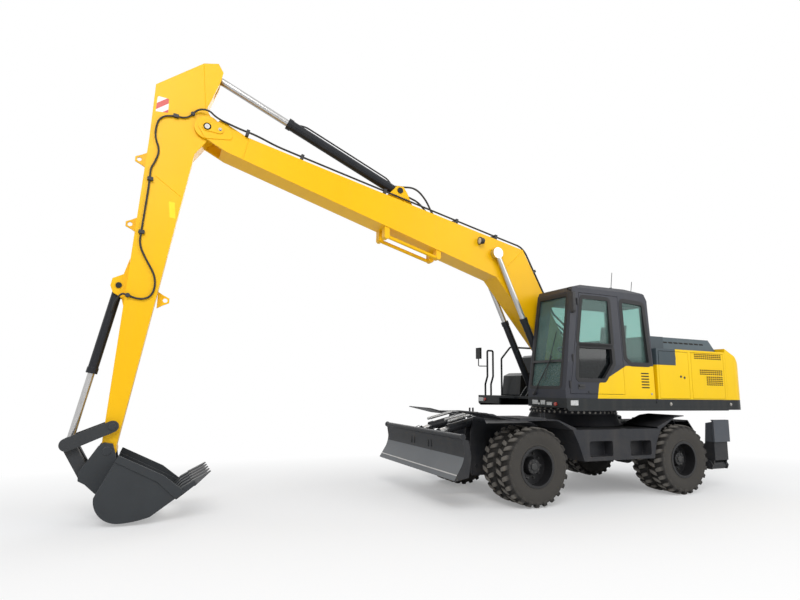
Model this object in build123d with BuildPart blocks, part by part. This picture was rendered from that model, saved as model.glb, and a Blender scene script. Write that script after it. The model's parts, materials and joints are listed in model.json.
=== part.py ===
"""Wheeled excavator with twin tyres, a dozer blade, rear outriggers and a long digging front.

Sizes are millimetres. +X points forward, +Y to the cab side, +Z up. Side views are drawn with x counted
forward from the slewing axis and z up from the ground. The row's origin lies on the ground, half way
between the tail and the foremost pin of the digging front.
"""
from build123d import *
import math
import os

# ---------------------------------------------------------------- clearances
RUNNING = 0.5                 # radial play of a pin in its bore
SIDE_PLAY = 8                 # gap beside an eye, boss or plate that turns
SEAM = 6                      # gap round a door or lid

# ---------------------------------------------------------------- wheels and axles
TYRE_R = 526
TYRE_W = 270
LUGS = 15                     # lugs round each half of a tread
LUG_SHARE = 0.56              # share of the pitch that a lug fills
LUG_DEEP = 30
TWIN_SPACING = 320
OUTER_TYRE_Y = 1099           # centre of the outer tyre of a pair
RIM_R = 262                   # bead seat
RIM_FLANGE_R = 274
RIM_WALL = 20
HUB_R = 125
HUB_BORE_R = 50
WHEELBASE = 2800
FRONT_AXLE_X = 1693
AXLE_Z = TYRE_R
KINGPIN_Y = 590
KINGPIN_R = 35
SPINDLE_R = 100
AXLE_TUBE_R = 95
STEER_ARM = 190               # from the kingpin back to the steering rod

# ---------------------------------------------------------------- chassis
FRAME_HALF = 345
FRAME_TOP = 1050
FRAME_FRONT = 1960
SLEW_RING_R = 680
SLEW_RING_TOP = 1255
SIDE_BOX_Y = 1185
SIDE_BOX_TOP = 1000
SIDE_BOX_LOW = 565
GUARD_T = 12

# ---------------------------------------------------------------- dozer blade
BLADE_HALF = 1235
BLADE_PIVOT = (2120, 450)
BLADE_BASE_PIN = (2080, 1090)
BLADE_ROD_PIN = (2720, 930)
BLADE_SKIN = 24
BLADE_ARM_Y = 275             # centre of each lift arm and of its cylinder

# ---------------------------------------------------------------- outriggers
STAB_BEHIND_AXLE = 923        # outrigger beam behind the rear axle
STAB_HALF = 158               # half width of an outrigger arm
STAB_PLATE = 25
STAB_PIVOT = (1060, 400)      # y, z
STAB_BASE_PIN = (300, 800)
STAB_ROD_PIN = (975, 635)

# ---------------------------------------------------------------- upper structure
TAIL_R = 2737
UPPER_HALF = 1210
DECK_LOW = 1268
DECK_TOP = 1443
DECK_FRONT_RIGHT = 1087
CAB_FRONT = 1163
CAB_REAR = -591
CAB_IN_Y = 345
CAB_TOP = 3150
CAB_WALL = 50
BODY_FRONT = -640
BODY_TOP = 2230
HOOD_TOP = 2450
WEIGHT_FRONT = -2240
PANEL_T = 40
DOOR_SPLIT_X = -1380

# ---------------------------------------------------------------- digging front
BOOM_FOOT = (190, 1860)
BOOM_TIP = (6116, 4885)
BOOM_HALF = 190
BOOM_CHEEK = 32
BOOM_LIFT_BASE = (625, 1540)
BOOM_LIFT_PIN = (1653, 3696)
BOOM_LIFT_Y = 256
ARM_BASE_PIN = (3297, 4516)
ARM_ROD_PIN = (6067, 5714)
ARM_HALF = BOOM_HALF - BOOM_CHEEK - SIDE_PLAY
BUCKET_PIN = (6902, 786)
ROCKER_PIN = (6869, 1058)
ROCKER_END = (7304, 867)
BUCKET_LINK_PIN = (7095, 503)
BUCKET_BASE_PIN = (6961, 2709)
BUCKET_HALF = 420
BUCKET_LOW = 36
EAR_T = 40
ROCKER_T = 30
ROCKER_BOSS_R = 72

FRONT_REACH = ROCKER_END[0] + ROCKER_BOSS_R
SLEW_X = (TAIL_R - FRONT_REACH) / 2
REAR_AXLE_X = FRONT_AXLE_X - WHEELBASE
STAB_X = REAR_AXLE_X - STAB_BEHIND_AXLE
INNER_TYRE_Y = OUTER_TYRE_Y - TWIN_SPACING

os.makedirs("parts", exist_ok=True)


# ---------------------------------------------------------------- shared shapes
def side_plane(y):
    """Side view plane at a distance y left of the centre."""
    return Plane(origin=(SLEW_X, y, 0), x_dir=(1, 0, 0), z_dir=(0, -1, 0))


def cross_plane(x):
    """Cross-section plane, seen from the front, at x from the slewing axis."""
    return Plane(origin=(SLEW_X + x, 0, 0), x_dir=(0, 1, 0), z_dir=(1, 0, 0))


def top_plane(z):
    """Plan view plane at a height z."""
    return Plane(origin=(SLEW_X, 0, z))


def prism(plane, points, depth, mode=Mode.ADD, corner=0):
    """Straight-sided solid on a plane, with its corners rounded if a radius is given."""
    with BuildSketch(plane) as view:
        with BuildLine():
            Polyline(*points, close=True)
        make_face()
        if corner:
            fillet(view.vertices(), corner)
    extrude(view.sketch, amount=depth, mode=mode)


def side_prism(points, y_low, y_high, mode=Mode.ADD, corner=0):
    """Solid between two distances from the centre plane, drawn as a side view."""
    prism(side_plane(y_high), points, y_high - y_low, mode, corner)


def cross_prism(points, x_low, x_high, mode=Mode.ADD, corner=0):
    """Solid between two stations, drawn as a cross-section of y and z."""
    prism(cross_plane(x_low), points, x_high - x_low, mode, corner)


def top_prism(points, z_low, z_high, mode=Mode.ADD, corner=0):
    """Solid between two heights, drawn as a plan view of x and y."""
    prism(top_plane(z_low), points, z_high - z_low, mode, corner)


def shaped_prism(plane, corners, depth, mode=Mode.ADD):
    """Straight-sided solid whose corners are given as u, v and their own radius."""
    with BuildSketch(plane) as view:
        with BuildLine():
            Polyline(*[(u, v) for u, v, radius in corners], close=True)
        make_face()
        for u, v, radius in corners:
            if radius:
                fillet(view.vertices().sort_by_distance((u, v, 0))[0], radius)
    extrude(view.sketch, amount=depth, mode=mode)


def side_shape(corners, y_low, y_high, mode=Mode.ADD):
    """Side view with its own radius at each corner."""
    shaped_prism(side_plane(y_high), corners, y_high - y_low, mode)


def cross_shape(corners, x_low, x_high, mode=Mode.ADD):
    """Cross-section of y and z with its own radius at each corner."""
    shaped_prism(cross_plane(x_low), corners, x_high - x_low, mode)


def block(x_range, y_range, z_range, mode=Mode.ADD):
    """Rectangular block between stated limits."""
    (x_low, x_high), (y_low, y_high), (z_low, z_high) = x_range, y_range, z_range
    centre = (SLEW_X + (x_low + x_high) / 2, (y_low + y_high) / 2, (z_low + z_high) / 2)
    with Locations(centre):
        Box(x_high - x_low, y_high - y_low, z_high - z_low, mode=mode)


def side_disc(centre, radius, y_low, y_high, mode=Mode.ADD):
    """Round boss, pin or hole along Y."""
    with BuildSketch(side_plane(y_high)) as view:
        with Locations(centre):
            Circle(radius)
    extrude(view.sketch, amount=y_high - y_low, mode=mode)


def cross_disc(centre, radius, x_low, x_high, mode=Mode.ADD):
    """Round boss, pin or hole along X."""
    with BuildSketch(cross_plane(x_low)) as view:
        with Locations(centre):
            Circle(radius)
    extrude(view.sketch, amount=x_high - x_low, mode=mode)


def strap(start, end, radius_start, radius_end, y_low, y_high, mode=Mode.ADD):
    """Plate in side view that runs from one round end to another."""
    angle = math.atan2(end[1] - start[1], end[0] - start[0])
    across = (-math.sin(angle), math.cos(angle))
    corners = [
        (pin[0] + side * radius * across[0], pin[1] + side * radius * across[1])
        for pin, radius, side in (
            (start, radius_start, 1), (end, radius_end, 1), (end, radius_end, -1), (start, radius_start, -1)
        )
    ]
    side_prism(corners, y_low, y_high, mode)
    side_disc(start, radius_start, y_low, y_high, mode)
    side_disc(end, radius_end, y_low, y_high, mode)


def bar(start, end, radius, mode=Mode.ADD):
    """Round bar between two points of the machine."""
    first = Vector(SLEW_X + start[0], start[1], start[2])
    last = Vector(SLEW_X + end[0], end[1], end[2])
    with BuildSketch(Plane(origin=first, z_dir=last - first)) as section:
        Circle(radius)
    extrude(section.sketch, amount=(last - first).length, mode=mode)


def tube(points, radius, bend):
    """Round rail or pipe along straight runs with rounded corners."""
    with BuildLine() as route:
        FilletPolyline(*[(SLEW_X + x, y, z) for x, y, z in points], radius=bend)
    start = route.line @ 0
    with BuildSketch(Plane(origin=start, z_dir=route.line % 0)) as section:
        Circle(radius)
    sweep(section.sketch, path=route.line)


def between(start, end, share):
    """Point of a side or cross view at a share of the way from start to end."""
    return tuple(a + (b - a) * share for a, b in zip(start, end))


def toward(start, end, distance):
    """Point of a side or cross view at a distance from start towards end."""
    return between(start, end, distance / math.dist(start, end))


def keep(part, label):
    """Name a finished piece and write it."""
    part.label = label
    export_step(part, "parts/" + label + ".step")


# ---------------------------------------------------------------- wheels
LUG_PITCH = 2 * math.pi / LUGS
LUG_HALF = LUG_SHARE * LUG_PITCH / 2
LUG_TIP_R = TYRE_R / math.cos(LUG_PITCH / 2 - LUG_HALF)      # a tip edge just reaches the ground
SHOULDER_SHARE = 0.6


LUG_FLAT_R = LUG_TIP_R * math.cos(LUG_HALF)
SIDEWALL_RISE = 100           # slope of the sidewall from its widest place in to the rim
SIDEWALL_DROP = 26
SEAT_SIDES = 12
SHOULDER_DROP = 24            # slope at the outer end of each lug
SHOULDER_RUN = 45


def tread_outline(first_angle):
    """Side view of a ring of lugs about the axle."""
    outline = []
    for number in range(LUGS):
        middle = first_angle + number * LUG_PITCH
        for turn, radius in (
            (-1.25 * LUG_HALF, LUG_TIP_R - LUG_DEEP), (-LUG_HALF, LUG_TIP_R),
            (LUG_HALF, LUG_TIP_R), (1.25 * LUG_HALF, LUG_TIP_R - LUG_DEEP),
        ):
            outline.append((radius * math.cos(middle + turn), radius * math.sin(middle + turn)))
    return outline


def ring_edges(shape, side, low, high):
    """Edges on one side face of the tyre whose middles lie between two radii."""
    on_face = shape.edges().filter_by_position(Axis.Y, side * TYRE_W / 2 - 0.1, side * TYRE_W / 2 + 0.1)
    return on_face.filter_by(lambda edge: low < math.hypot(edge.center().X, edge.center().Z) < high)


with BuildPart() as tyre:
    for side in (-1, 1):
        with BuildSketch(Plane(origin=(0, 0, 0), x_dir=(1, 0, 0), z_dir=(0, side, 0))) as tread:
            with BuildLine():
                Polyline(*tread_outline(-math.pi / 2 + max(side, 0) * LUG_PITCH / 2), close=True)
            make_face()
            RegularPolygon(RIM_R, SEAT_SIDES, major_radius=False, mode=Mode.SUBTRACT)
        extrude(tread.sketch, amount=TYRE_W / 2)
    for side in (-1, 1):
        for low, high, along_face, along_axle in (
            (LUG_FLAT_R - 1, LUG_FLAT_R + 1, SHOULDER_DROP, SHOULDER_RUN),
            (RIM_R - 1, RIM_R + 1, SIDEWALL_RISE, SIDEWALL_DROP),
        ):
            side_face = tyre.faces().sort_by(Axis.Y)[0 if side < 0 else -1]
            chamfer(ring_edges(tyre, side, low, high), along_face, along_axle, reference=side_face)


def twin_rim(side, axle_x):
    """Twin rims with their spacer, disc and hub, turned about the axle."""
    axle = Axis((SLEW_X + axle_x, 0, AXLE_Z), (0, 1, 0))
    seat = RIM_R - 0.3
    inner = seat - RIM_WALL
    near = INNER_TYRE_Y - 0.42 * TYRE_W
    far = OUTER_TYRE_Y + 0.42 * TYRE_W
    disc = OUTER_TYRE_Y - 70
    bore_end = disc - 20
    profile = [
        (near - 8, RIM_FLANGE_R), (near, RIM_FLANGE_R), (near, seat), (far, seat), (far, RIM_FLANGE_R),
        (far + 8, RIM_FLANGE_R), (far + 8, inner), (disc + 16, inner), (disc + 16, HUB_R),
        (disc + 105, HUB_R - 30), (disc + 105, 0), (bore_end, 0),
        (bore_end, HUB_BORE_R + RUNNING), (disc - 120, HUB_BORE_R + RUNNING), (disc - 120, HUB_R), (disc, inner),
        (near - 8, inner),
    ]
    with BuildSketch(Plane(origin=(SLEW_X + axle_x, 0, AXLE_Z), x_dir=(0, side, 0), z_dir=(side, 0, 0))) as section:
        with BuildLine():
            Polyline(*profile, close=True)
        make_face()
    revolve(section.sketch, axis=axle)


WHEELS = (
    # name, side, axle
    ("front_left", 1, FRONT_AXLE_X),
    ("front_right", -1, FRONT_AXLE_X),
    ("rear_left", 1, REAR_AXLE_X),
    ("rear_right", -1, REAR_AXLE_X),
)
for name, side, axle_x in WHEELS:
    with BuildPart() as tyres:
        with Locations(*((SLEW_X + axle_x, side * centre_y, AXLE_Z) for centre_y in (INNER_TYRE_Y, OUTER_TYRE_Y))):
            add(tyre.part)
    keep(tyres.part, "tyres_" + name)
    with BuildPart() as rims:
        twin_rim(side, axle_x)
    keep(rims.part, "rims_" + name)

HUB_DISC_Y = OUTER_TYRE_Y - 70
HUB_INNER_Y = HUB_DISC_Y - 120
SPINDLE_END_Y = HUB_DISC_Y - 20 - SIDE_PLAY

# ---------------------------------------------------------------- steered axle
YOKE_Z = (150, 188)           # yoke plate above and below the axle's centre
KNUCKLE_HALF = YOKE_Z[0] - SIDE_PLAY
YOKE_IN = KINGPIN_Y - 150
STEER_Y = KINGPIN_Y - 40      # ball joint of each steering arm
ROD_X = FRONT_AXLE_X - STEER_ARM

with BuildPart() as front_axle:
    side_disc((FRONT_AXLE_X, AXLE_Z), AXLE_TUBE_R, -YOKE_IN, YOKE_IN)
    side_disc((FRONT_AXLE_X, AXLE_Z), AXLE_TUBE_R + 95, -95, 95)
    side_disc((FRONT_AXLE_X, AXLE_Z), AXLE_TUBE_R + 55, -160, 160)
    side_prism(
        [(FRONT_AXLE_X - 60, AXLE_Z), (FRONT_AXLE_X + 60, AXLE_Z), (FRONT_AXLE_X + 80, 740), (FRONT_AXLE_X - 80, 740)],
        -120, 120,
    )
    cross_disc((0, AXLE_Z), 70, FRONT_AXLE_X - 260, FRONT_AXLE_X)
    for side in (-1, 1):
        block(
            (FRONT_AXLE_X - 75, FRONT_AXLE_X + 75),
            sorted((side * (YOKE_IN - 30), side * YOKE_IN)),
            (AXLE_Z - YOKE_Z[1], AXLE_Z + YOKE_Z[1]),
        )
        for low, high in ((-YOKE_Z[1], -YOKE_Z[0]), YOKE_Z):
            block(
                (FRONT_AXLE_X - 60, FRONT_AXLE_X + 60),
                sorted((side * YOKE_IN, side * KINGPIN_Y)),
                (AXLE_Z + low, AXLE_Z + high),
            )
            with Locations((SLEW_X + FRONT_AXLE_X, side * KINGPIN_Y, AXLE_Z + (low + high) / 2)):
                Cylinder(60, high - low)
        with Locations((SLEW_X + FRONT_AXLE_X, side * KINGPIN_Y, AXLE_Z)):
            Cylinder(KINGPIN_R + RUNNING, 2.2 * YOKE_Z[1], mode=Mode.SUBTRACT)
        block(
            (ROD_X - 45, FRONT_AXLE_X - 60), sorted((side * 200, side * 235)), (AXLE_Z - 45, AXLE_Z + 45),
        )
    side_disc((ROD_X, AXLE_Z), 48, -235, 235)
    side_disc((ROD_X, AXLE_Z), 22 + RUNNING, -240, 240, mode=Mode.SUBTRACT)
keep(front_axle.part, "front_axle")

with BuildPart() as steering_rod:
    side_disc((ROD_X, AXLE_Z), 22, -STEER_Y + 30, STEER_Y - 30)
    for side in (-1, 1):
        with Locations((SLEW_X + ROD_X, side * STEER_Y, AXLE_Z)):
            Cylinder(36, 44)
keep(steering_rod.part, "steering_rod")

for name, side in (("left", 1), ("right", -1)):
    with BuildPart() as knuckle:
        with Locations((SLEW_X + FRONT_AXLE_X, side * KINGPIN_Y, AXLE_Z)):
            Cylinder(62, 2 * KNUCKLE_HALF)
            Cylinder(KINGPIN_R, 2 * YOKE_Z[1])
        side_disc(
            (FRONT_AXLE_X, AXLE_Z), SPINDLE_R, *sorted((side * (KINGPIN_Y + 20), side * (HUB_INNER_Y - SIDE_PLAY)))
        )
        side_disc(
            (FRONT_AXLE_X, AXLE_Z), HUB_BORE_R, *sorted((side * (HUB_INNER_Y - SIDE_PLAY), side * SPINDLE_END_Y))
        )
        for low, high in ((30, 55), (-55, -30)):
            top_prism(
                [
                    (FRONT_AXLE_X, side * (KINGPIN_Y - 30)), (FRONT_AXLE_X, side * (KINGPIN_Y + 40)),
                    (ROD_X - 30, side * (STEER_Y + 35)), (ROD_X - 30, side * (STEER_Y - 35)),
                ],
                AXLE_Z + low, AXLE_Z + high,
            )
    keep(knuckle.part, "knuckle_" + name)

# ---------------------------------------------------------------- fixed axle and drive line
with BuildPart() as rear_axle:
    side_disc((REAR_AXLE_X, AXLE_Z), AXLE_TUBE_R, -560, 560)
    side_disc((REAR_AXLE_X, AXLE_Z), AXLE_TUBE_R + 100, -100, 100)
    side_disc((REAR_AXLE_X, AXLE_Z), AXLE_TUBE_R + 60, -170, 170)
    for side in (-1, 1):
        side_disc((REAR_AXLE_X, AXLE_Z), SPINDLE_R, *sorted((side * 540, side * (HUB_INNER_Y - SIDE_PLAY))))
        side_disc(
            (REAR_AXLE_X, AXLE_Z), HUB_BORE_R, *sorted((side * (HUB_INNER_Y - SIDE_PLAY), side * SPINDLE_END_Y))
        )
        block(
            (REAR_AXLE_X - 110, REAR_AXLE_X + 110), sorted((side * 210, side * 330)), (AXLE_Z, 740),
        )
    block((REAR_AXLE_X + 100, REAR_AXLE_X + 420), (-150, 150), (AXLE_Z - 130, AXLE_Z + 90))
    cross_disc((0, AXLE_Z), 38, REAR_AXLE_X + 400, FRONT_AXLE_X - 260)
keep(rear_axle.part, "rear_axle")

# ---------------------------------------------------------------- chassis frame
FRAME_SIDE = [
    (STAB_X + 180, 620), (REAR_AXLE_X - 260, 740), (REAR_AXLE_X + 260, 740), (REAR_AXLE_X + 400, 640),
    (FRONT_AXLE_X - 420, 640), (FRONT_AXLE_X - 290, 740), (FRAME_FRONT, 740), (FRAME_FRONT, FRAME_TOP),
    (STAB_X + 180, FRAME_TOP),
]
STAB_PLATE_SHAPE = [
    (-1125, 335), (1125, 335), (1150, 400), (1110, 460), (760, 600), (440, 1070), (-440, 1070), (-760, 600),
    (-1110, 460), (-1150, 400),
]
STAB_OUT = STAB_HALF + SIDE_PLAY
with BuildPart() as chassis_frame:
    side_prism(FRAME_SIDE, -FRAME_HALF, FRAME_HALF)
    with Locations((SLEW_X, 0, (FRAME_TOP - 40 + 1180) / 2)):
        Cone(SLEW_RING_R + 90, SLEW_RING_R + 10, 1180 - FRAME_TOP + 40)
    for low, high in ((STAB_OUT, STAB_OUT + STAB_PLATE), (-STAB_OUT - STAB_PLATE, -STAB_OUT)):
        cross_prism(STAB_PLATE_SHAPE, STAB_X + low, STAB_X + high)
    block((STAB_X - STAB_OUT, STAB_X + STAB_OUT), (-430, 430), (1045, 1070))
    block((STAB_X - STAB_OUT, STAB_X + STAB_OUT), (-900, 900), (335, 360))
    block((STAB_X - STAB_OUT, STAB_X + STAB_OUT), (-60, 60), (360, 1045))
    for side in (-1, 1):
        for pin, radius in ((STAB_PIVOT, 40), (STAB_BASE_PIN, 28)):
            cross_disc(
                (side * pin[0], pin[1]), radius + RUNNING, STAB_X - 400, STAB_X + 400, mode=Mode.SUBTRACT,
            )
        for inner, outer in ((BLADE_ARM_Y - 90, BLADE_ARM_Y - 63), (BLADE_ARM_Y + 63, BLADE_ARM_Y + 90)):
            side_prism(
                [
                    (FRAME_FRONT - 10, 320), (2190, 320), (2240, 450), (2215, 900), (2165, 1150), (2010, 1165),
                    (FRAME_FRONT - 10, 1050),
                ],
                *sorted((side * inner, side * outer)),
            )
        side_disc(BLADE_PIVOT, 32 + RUNNING, *sorted((side * 180, side * 370)), mode=Mode.SUBTRACT)
        side_disc(BLADE_BASE_PIN, 28 + RUNNING, *sorted((side * 180, side * 370)), mode=Mode.SUBTRACT)
    block((FRAME_FRONT - 12, FRAME_FRONT), (-FRAME_HALF, FRAME_HALF), (320, 800))
keep(chassis_frame.part, "chassis_frame")

RING_TEETH = 60
with BuildPart() as slew_ring:
    with Locations((SLEW_X, 0, (1180 + SLEW_RING_TOP) / 2)):
        Cylinder(SLEW_RING_R, SLEW_RING_TOP - 1180)
        Cylinder(SLEW_RING_R - 130, SLEW_RING_TOP - 1180, mode=Mode.SUBTRACT)
    with BuildSketch(top_plane(1205)) as teeth:
        with PolarLocations(SLEW_RING_R + 6, RING_TEETH):
            Rectangle(28, 34)
    extrude(teeth.sketch, amount=30)
keep(slew_ring.part, "slew_ring")

# ---------------------------------------------------------------- step boxes with their mudguards
BOX_FRONT_LOW_X = FRONT_AXLE_X - 843          # box ends clear the tyres and slope with them
BOX_REAR_LOW_X = REAR_AXLE_X + 587
BOX_FRONT = ((BOX_FRONT_LOW_X + 195, SIDE_BOX_TOP), (BOX_FRONT_LOW_X + 90, 800), (BOX_FRONT_LOW_X, SIDE_BOX_LOW))
BOX_REAR = ((BOX_REAR_LOW_X - 170, SIDE_BOX_TOP), (BOX_REAR_LOW_X - 55, 800), (BOX_REAR_LOW_X, SIDE_BOX_LOW))
STEPS = (
    # front, rear, low, high
    (BOX_FRONT_LOW_X - 100, BOX_FRONT_LOW_X - 540, SIDE_BOX_LOW + 55, SIDE_BOX_LOW + 275),
    (BOX_REAR_LOW_X + 490, BOX_REAR_LOW_X + 60, SIDE_BOX_LOW + 47, SIDE_BOX_LOW + 267),
)
with BuildPart() as side_boxes:
    for side in (-1, 1):
        inner = FRAME_HALF
        side_prism([*BOX_FRONT, *reversed(BOX_REAR)], *sorted((side * inner, side * SIDE_BOX_Y)))
        for front, rear, low, high in STEPS:
            side_prism(
                [(front, low), (front, high), (rear, high), (rear, low)],
                *sorted((side * (SIDE_BOX_Y - 170), side * (SIDE_BOX_Y + 5))), mode=Mode.SUBTRACT, corner=35,
            )
        guard_low, guard_high = sorted((side * 420, side * SIDE_BOX_Y))
        side_shape(
            [
                (BOX_FRONT[0][0] - 60, SIDE_BOX_TOP - 5, 0), (*BOX_FRONT[0], 0), (FRONT_AXLE_X - 380, 1135, 180),
                (FRONT_AXLE_X + 360, 1135, 260), (FRONT_AXLE_X + 795, 1232, 0),
                (FRONT_AXLE_X + 790, 1232 + GUARD_T, 0), (FRONT_AXLE_X + 358, 1135 + GUARD_T, 250),
                (FRONT_AXLE_X - 385, 1135 + GUARD_T, 190), (BOX_FRONT[0][0] - 60, SIDE_BOX_TOP + 25, 0),
            ],
            guard_low, guard_high,
        )
        side_prism(
            [
                (FRONT_AXLE_X - 190, 1135), (FRONT_AXLE_X - 190, 1172), (FRONT_AXLE_X + 250, 1172),
                (FRONT_AXLE_X + 250, 1135),
            ],
            *sorted((side * 560, side * (SIDE_BOX_Y - 4))),
        )
        for post in (-330, -265):
            with Locations((SLEW_X + FRONT_AXLE_X + post, side * (SIDE_BOX_Y - 230), 1182)):
                Cylinder(15, 90)
        side_shape(
            [
                (BOX_REAR[0][0] + 50, SIDE_BOX_TOP - 5, 0), (*BOX_REAR[0], 0), (REAR_AXLE_X + 120, 1160, 120),
                (REAR_AXLE_X - 90, 1182, 0), (REAR_AXLE_X - 90, 1182 + GUARD_T, 0),
                (REAR_AXLE_X + 117, 1160 + GUARD_T, 130), (BOX_REAR[0][0] + 90, SIDE_BOX_TOP + 25, 0),
            ],
            *sorted((side * 500, side * SIDE_BOX_Y)),
        )
keep(side_boxes.part, "side_boxes")

# ---------------------------------------------------------------- dozer blade and its cylinders
with BuildPart() as dozer_blade:
    with BuildSketch(side_plane(BLADE_HALF)) as view:
        with BuildLine():
            ThreePointArc((2885, 945), (2842, 740), (2905, 560))
            Line((2905, 560), (2990, 425))
            Line((2990, 425), (2960, 410))
            Line((2960, 410), (2870, 545))
            ThreePointArc((2870, 545), (2842 - BLADE_SKIN, 740), (2860, 945))
            Line((2860, 945), (2885, 945))
        make_face()
    extrude(view.sketch, amount=2 * BLADE_HALF)
    side_disc((2862, 945), 34, -BLADE_HALF, BLADE_HALF)
    for side in (-1, 1):
        side_prism(
            [(2868, 930), (2780, 900), (2740, 700), (2780, 450), (2950, 415), (2890, 545), (2835, 740)],
            *sorted((side * (BLADE_HALF - 20), side * BLADE_HALF)),
        )
        arm_low, arm_high = sorted((side * (BLADE_ARM_Y - 55), side * (BLADE_ARM_Y + 55)))
        side_prism(
            [(2120, 365), (2760, 400), (2930, 440), (2880, 560), (2840, 740), (2760, 700), (2700, 590), (2120, 535)],
            arm_low, arm_high,
        )
        side_disc(BLADE_PIVOT, 85, arm_low, arm_high)
        side_disc(BLADE_PIVOT, 32, *sorted((side * (BLADE_ARM_Y - 92), side * (BLADE_ARM_Y + 92))))
        for inner, outer in ((-55, -38), (38, 55)):
            ear_low, ear_high = sorted((side * (BLADE_ARM_Y + inner), side * (BLADE_ARM_Y + outer)))
            side_prism(
                [(2850, 740), (2850, 930), (2720, 990), (2660, 930), (2720, 690), (2760, 560)], ear_low, ear_high,
            )
    block((2700, 2850), (-BLADE_ARM_Y + 50, BLADE_ARM_Y - 50), (470, 560))
keep(dozer_blade.part, "dozer_blade")


def barrel(base, rod_pin, length, y, radius, eye_r, eye_half, pin_r, pin_half):
    """Cylinder barrel with its gland ring, base eye and base pin."""
    end = toward(base, rod_pin, length)
    gland = toward(base, rod_pin, length - 70)
    foot = toward(base, rod_pin, eye_r * 0.6)
    bar((foot[0], y, foot[1]), (end[0], y, end[1]), radius)
    bar((gland[0], y, gland[1]), (end[0], y, end[1]), radius * 1.12)
    side_disc(base, eye_r, y - eye_half, y + eye_half)
    side_disc(base, pin_r, y - pin_half, y + pin_half)


def barrel_bore(base, rod_pin, length, y, rod_r, depth):
    """Hole that the piston rod slides in."""
    end = toward(base, rod_pin, length + 5)
    start = toward(base, rod_pin, depth)
    bar((start[0], y, start[1]), (end[0], y, end[1]), rod_r + RUNNING, mode=Mode.SUBTRACT)


def rod(base, rod_pin, start, y, radius, eye_r, eye_half):
    """Piston rod with its eye."""
    tail = toward(base, rod_pin, start)
    bar((tail[0], y, tail[1]), (rod_pin[0], y, rod_pin[1]), radius)
    side_disc(rod_pin, eye_r, y - eye_half, y + eye_half)


BLADE_BARREL = 490
with BuildPart() as blade_barrels:
    for side in (-1, 1):
        y = side * BLADE_ARM_Y
        barrel(BLADE_BASE_PIN, BLADE_ROD_PIN, BLADE_BARREL, y, 62, 62, 50, 28, 88)
        barrel_bore(BLADE_BASE_PIN, BLADE_ROD_PIN, BLADE_BARREL, y, 36, 75)
keep(blade_barrels.part, "blade_barrels")

with BuildPart() as blade_rods:
    for side in (-1, 1):
        rod(BLADE_BASE_PIN, BLADE_ROD_PIN, 180, side * BLADE_ARM_Y, 36, 52, 30)
keep(blade_rods.part, "blade_rods")

# ---------------------------------------------------------------- outriggers and their cylinders
STAB_BARREL = 470
for name, side in (("left", 1), ("right", -1)):
    pivot, base_pin, rod_pin = ((side * pin[0], pin[1]) for pin in (STAB_PIVOT, STAB_BASE_PIN, STAB_ROD_PIN))
    with BuildPart() as outrigger:
        cheek = [
            (side * 985, 400), (side * 1000, 560), (side * 930, 600), (side * 930, 680), (side * 1010, 740),
            (side * 1040, 1060), (side * 1165, 1090), (side * 1170, 560), (side * 1140, 400),
        ]
        for low, high in ((-STAB_HALF, -STAB_HALF + STAB_PLATE), (STAB_HALF - STAB_PLATE, STAB_HALF)):
            cross_prism(cheek, STAB_X + low, STAB_X + high)
            cross_disc(pivot, 72, STAB_X + low, STAB_X + high)
        cross_disc(pivot, 72, STAB_X - STAB_HALF, STAB_X + STAB_HALF)
        cross_disc(pivot, 40, STAB_X - STAB_OUT - STAB_PLATE - 12, STAB_X + STAB_OUT + STAB_PLATE + 12)
        cross_prism(
            [(side * 1152, 480), (side * 1175, 480), (side * 1175, 1095), (side * 1152, 1095)],
            STAB_X - STAB_HALF, STAB_X + STAB_HALF,
        )
        cross_prism(
            [(side * 1040, 1062), (side * 1165, 1090), (side * 1165, 1070), (side * 1045, 1042)],
            STAB_X - STAB_HALF, STAB_X + STAB_HALF,
        )
        cross_prism(
            [(side * 1175, 770), (side * 1207, 770), (side * 1207, 1120), (side * 1150, 1120), (side * 1175, 1095)],
            STAB_X - 185, STAB_X + 185,
        )
    keep(outrigger.part, "outrigger_" + name)
    with BuildPart() as stab_barrel:
        end, gland, foot = (toward(base_pin, rod_pin, length) for length in (STAB_BARREL, STAB_BARREL - 60, 30))
        bar((STAB_X, *foot), (STAB_X, *end), 52)
        bar((STAB_X, *gland), (STAB_X, *end), 60)
        cross_disc(base_pin, 52, STAB_X - 45, STAB_X + 45)
        cross_disc(base_pin, 28, STAB_X - STAB_OUT - STAB_PLATE, STAB_X + STAB_OUT + STAB_PLATE)
        bore_start, bore_end = (toward(base_pin, rod_pin, length) for length in (60, STAB_BARREL + 5))
        bar((STAB_X, *bore_start), (STAB_X, *bore_end), 32 + RUNNING, mode=Mode.SUBTRACT)
    keep(stab_barrel.part, "outrigger_barrel_" + name)
    with BuildPart() as stab_rod:
        tail = toward(base_pin, rod_pin, 90)
        bar((STAB_X, *tail), (STAB_X, *rod_pin), 32)
        cross_disc(rod_pin, 46, STAB_X - 35, STAB_X + 35)
    keep(stab_rod.part, "outrigger_rod_" + name)

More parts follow.
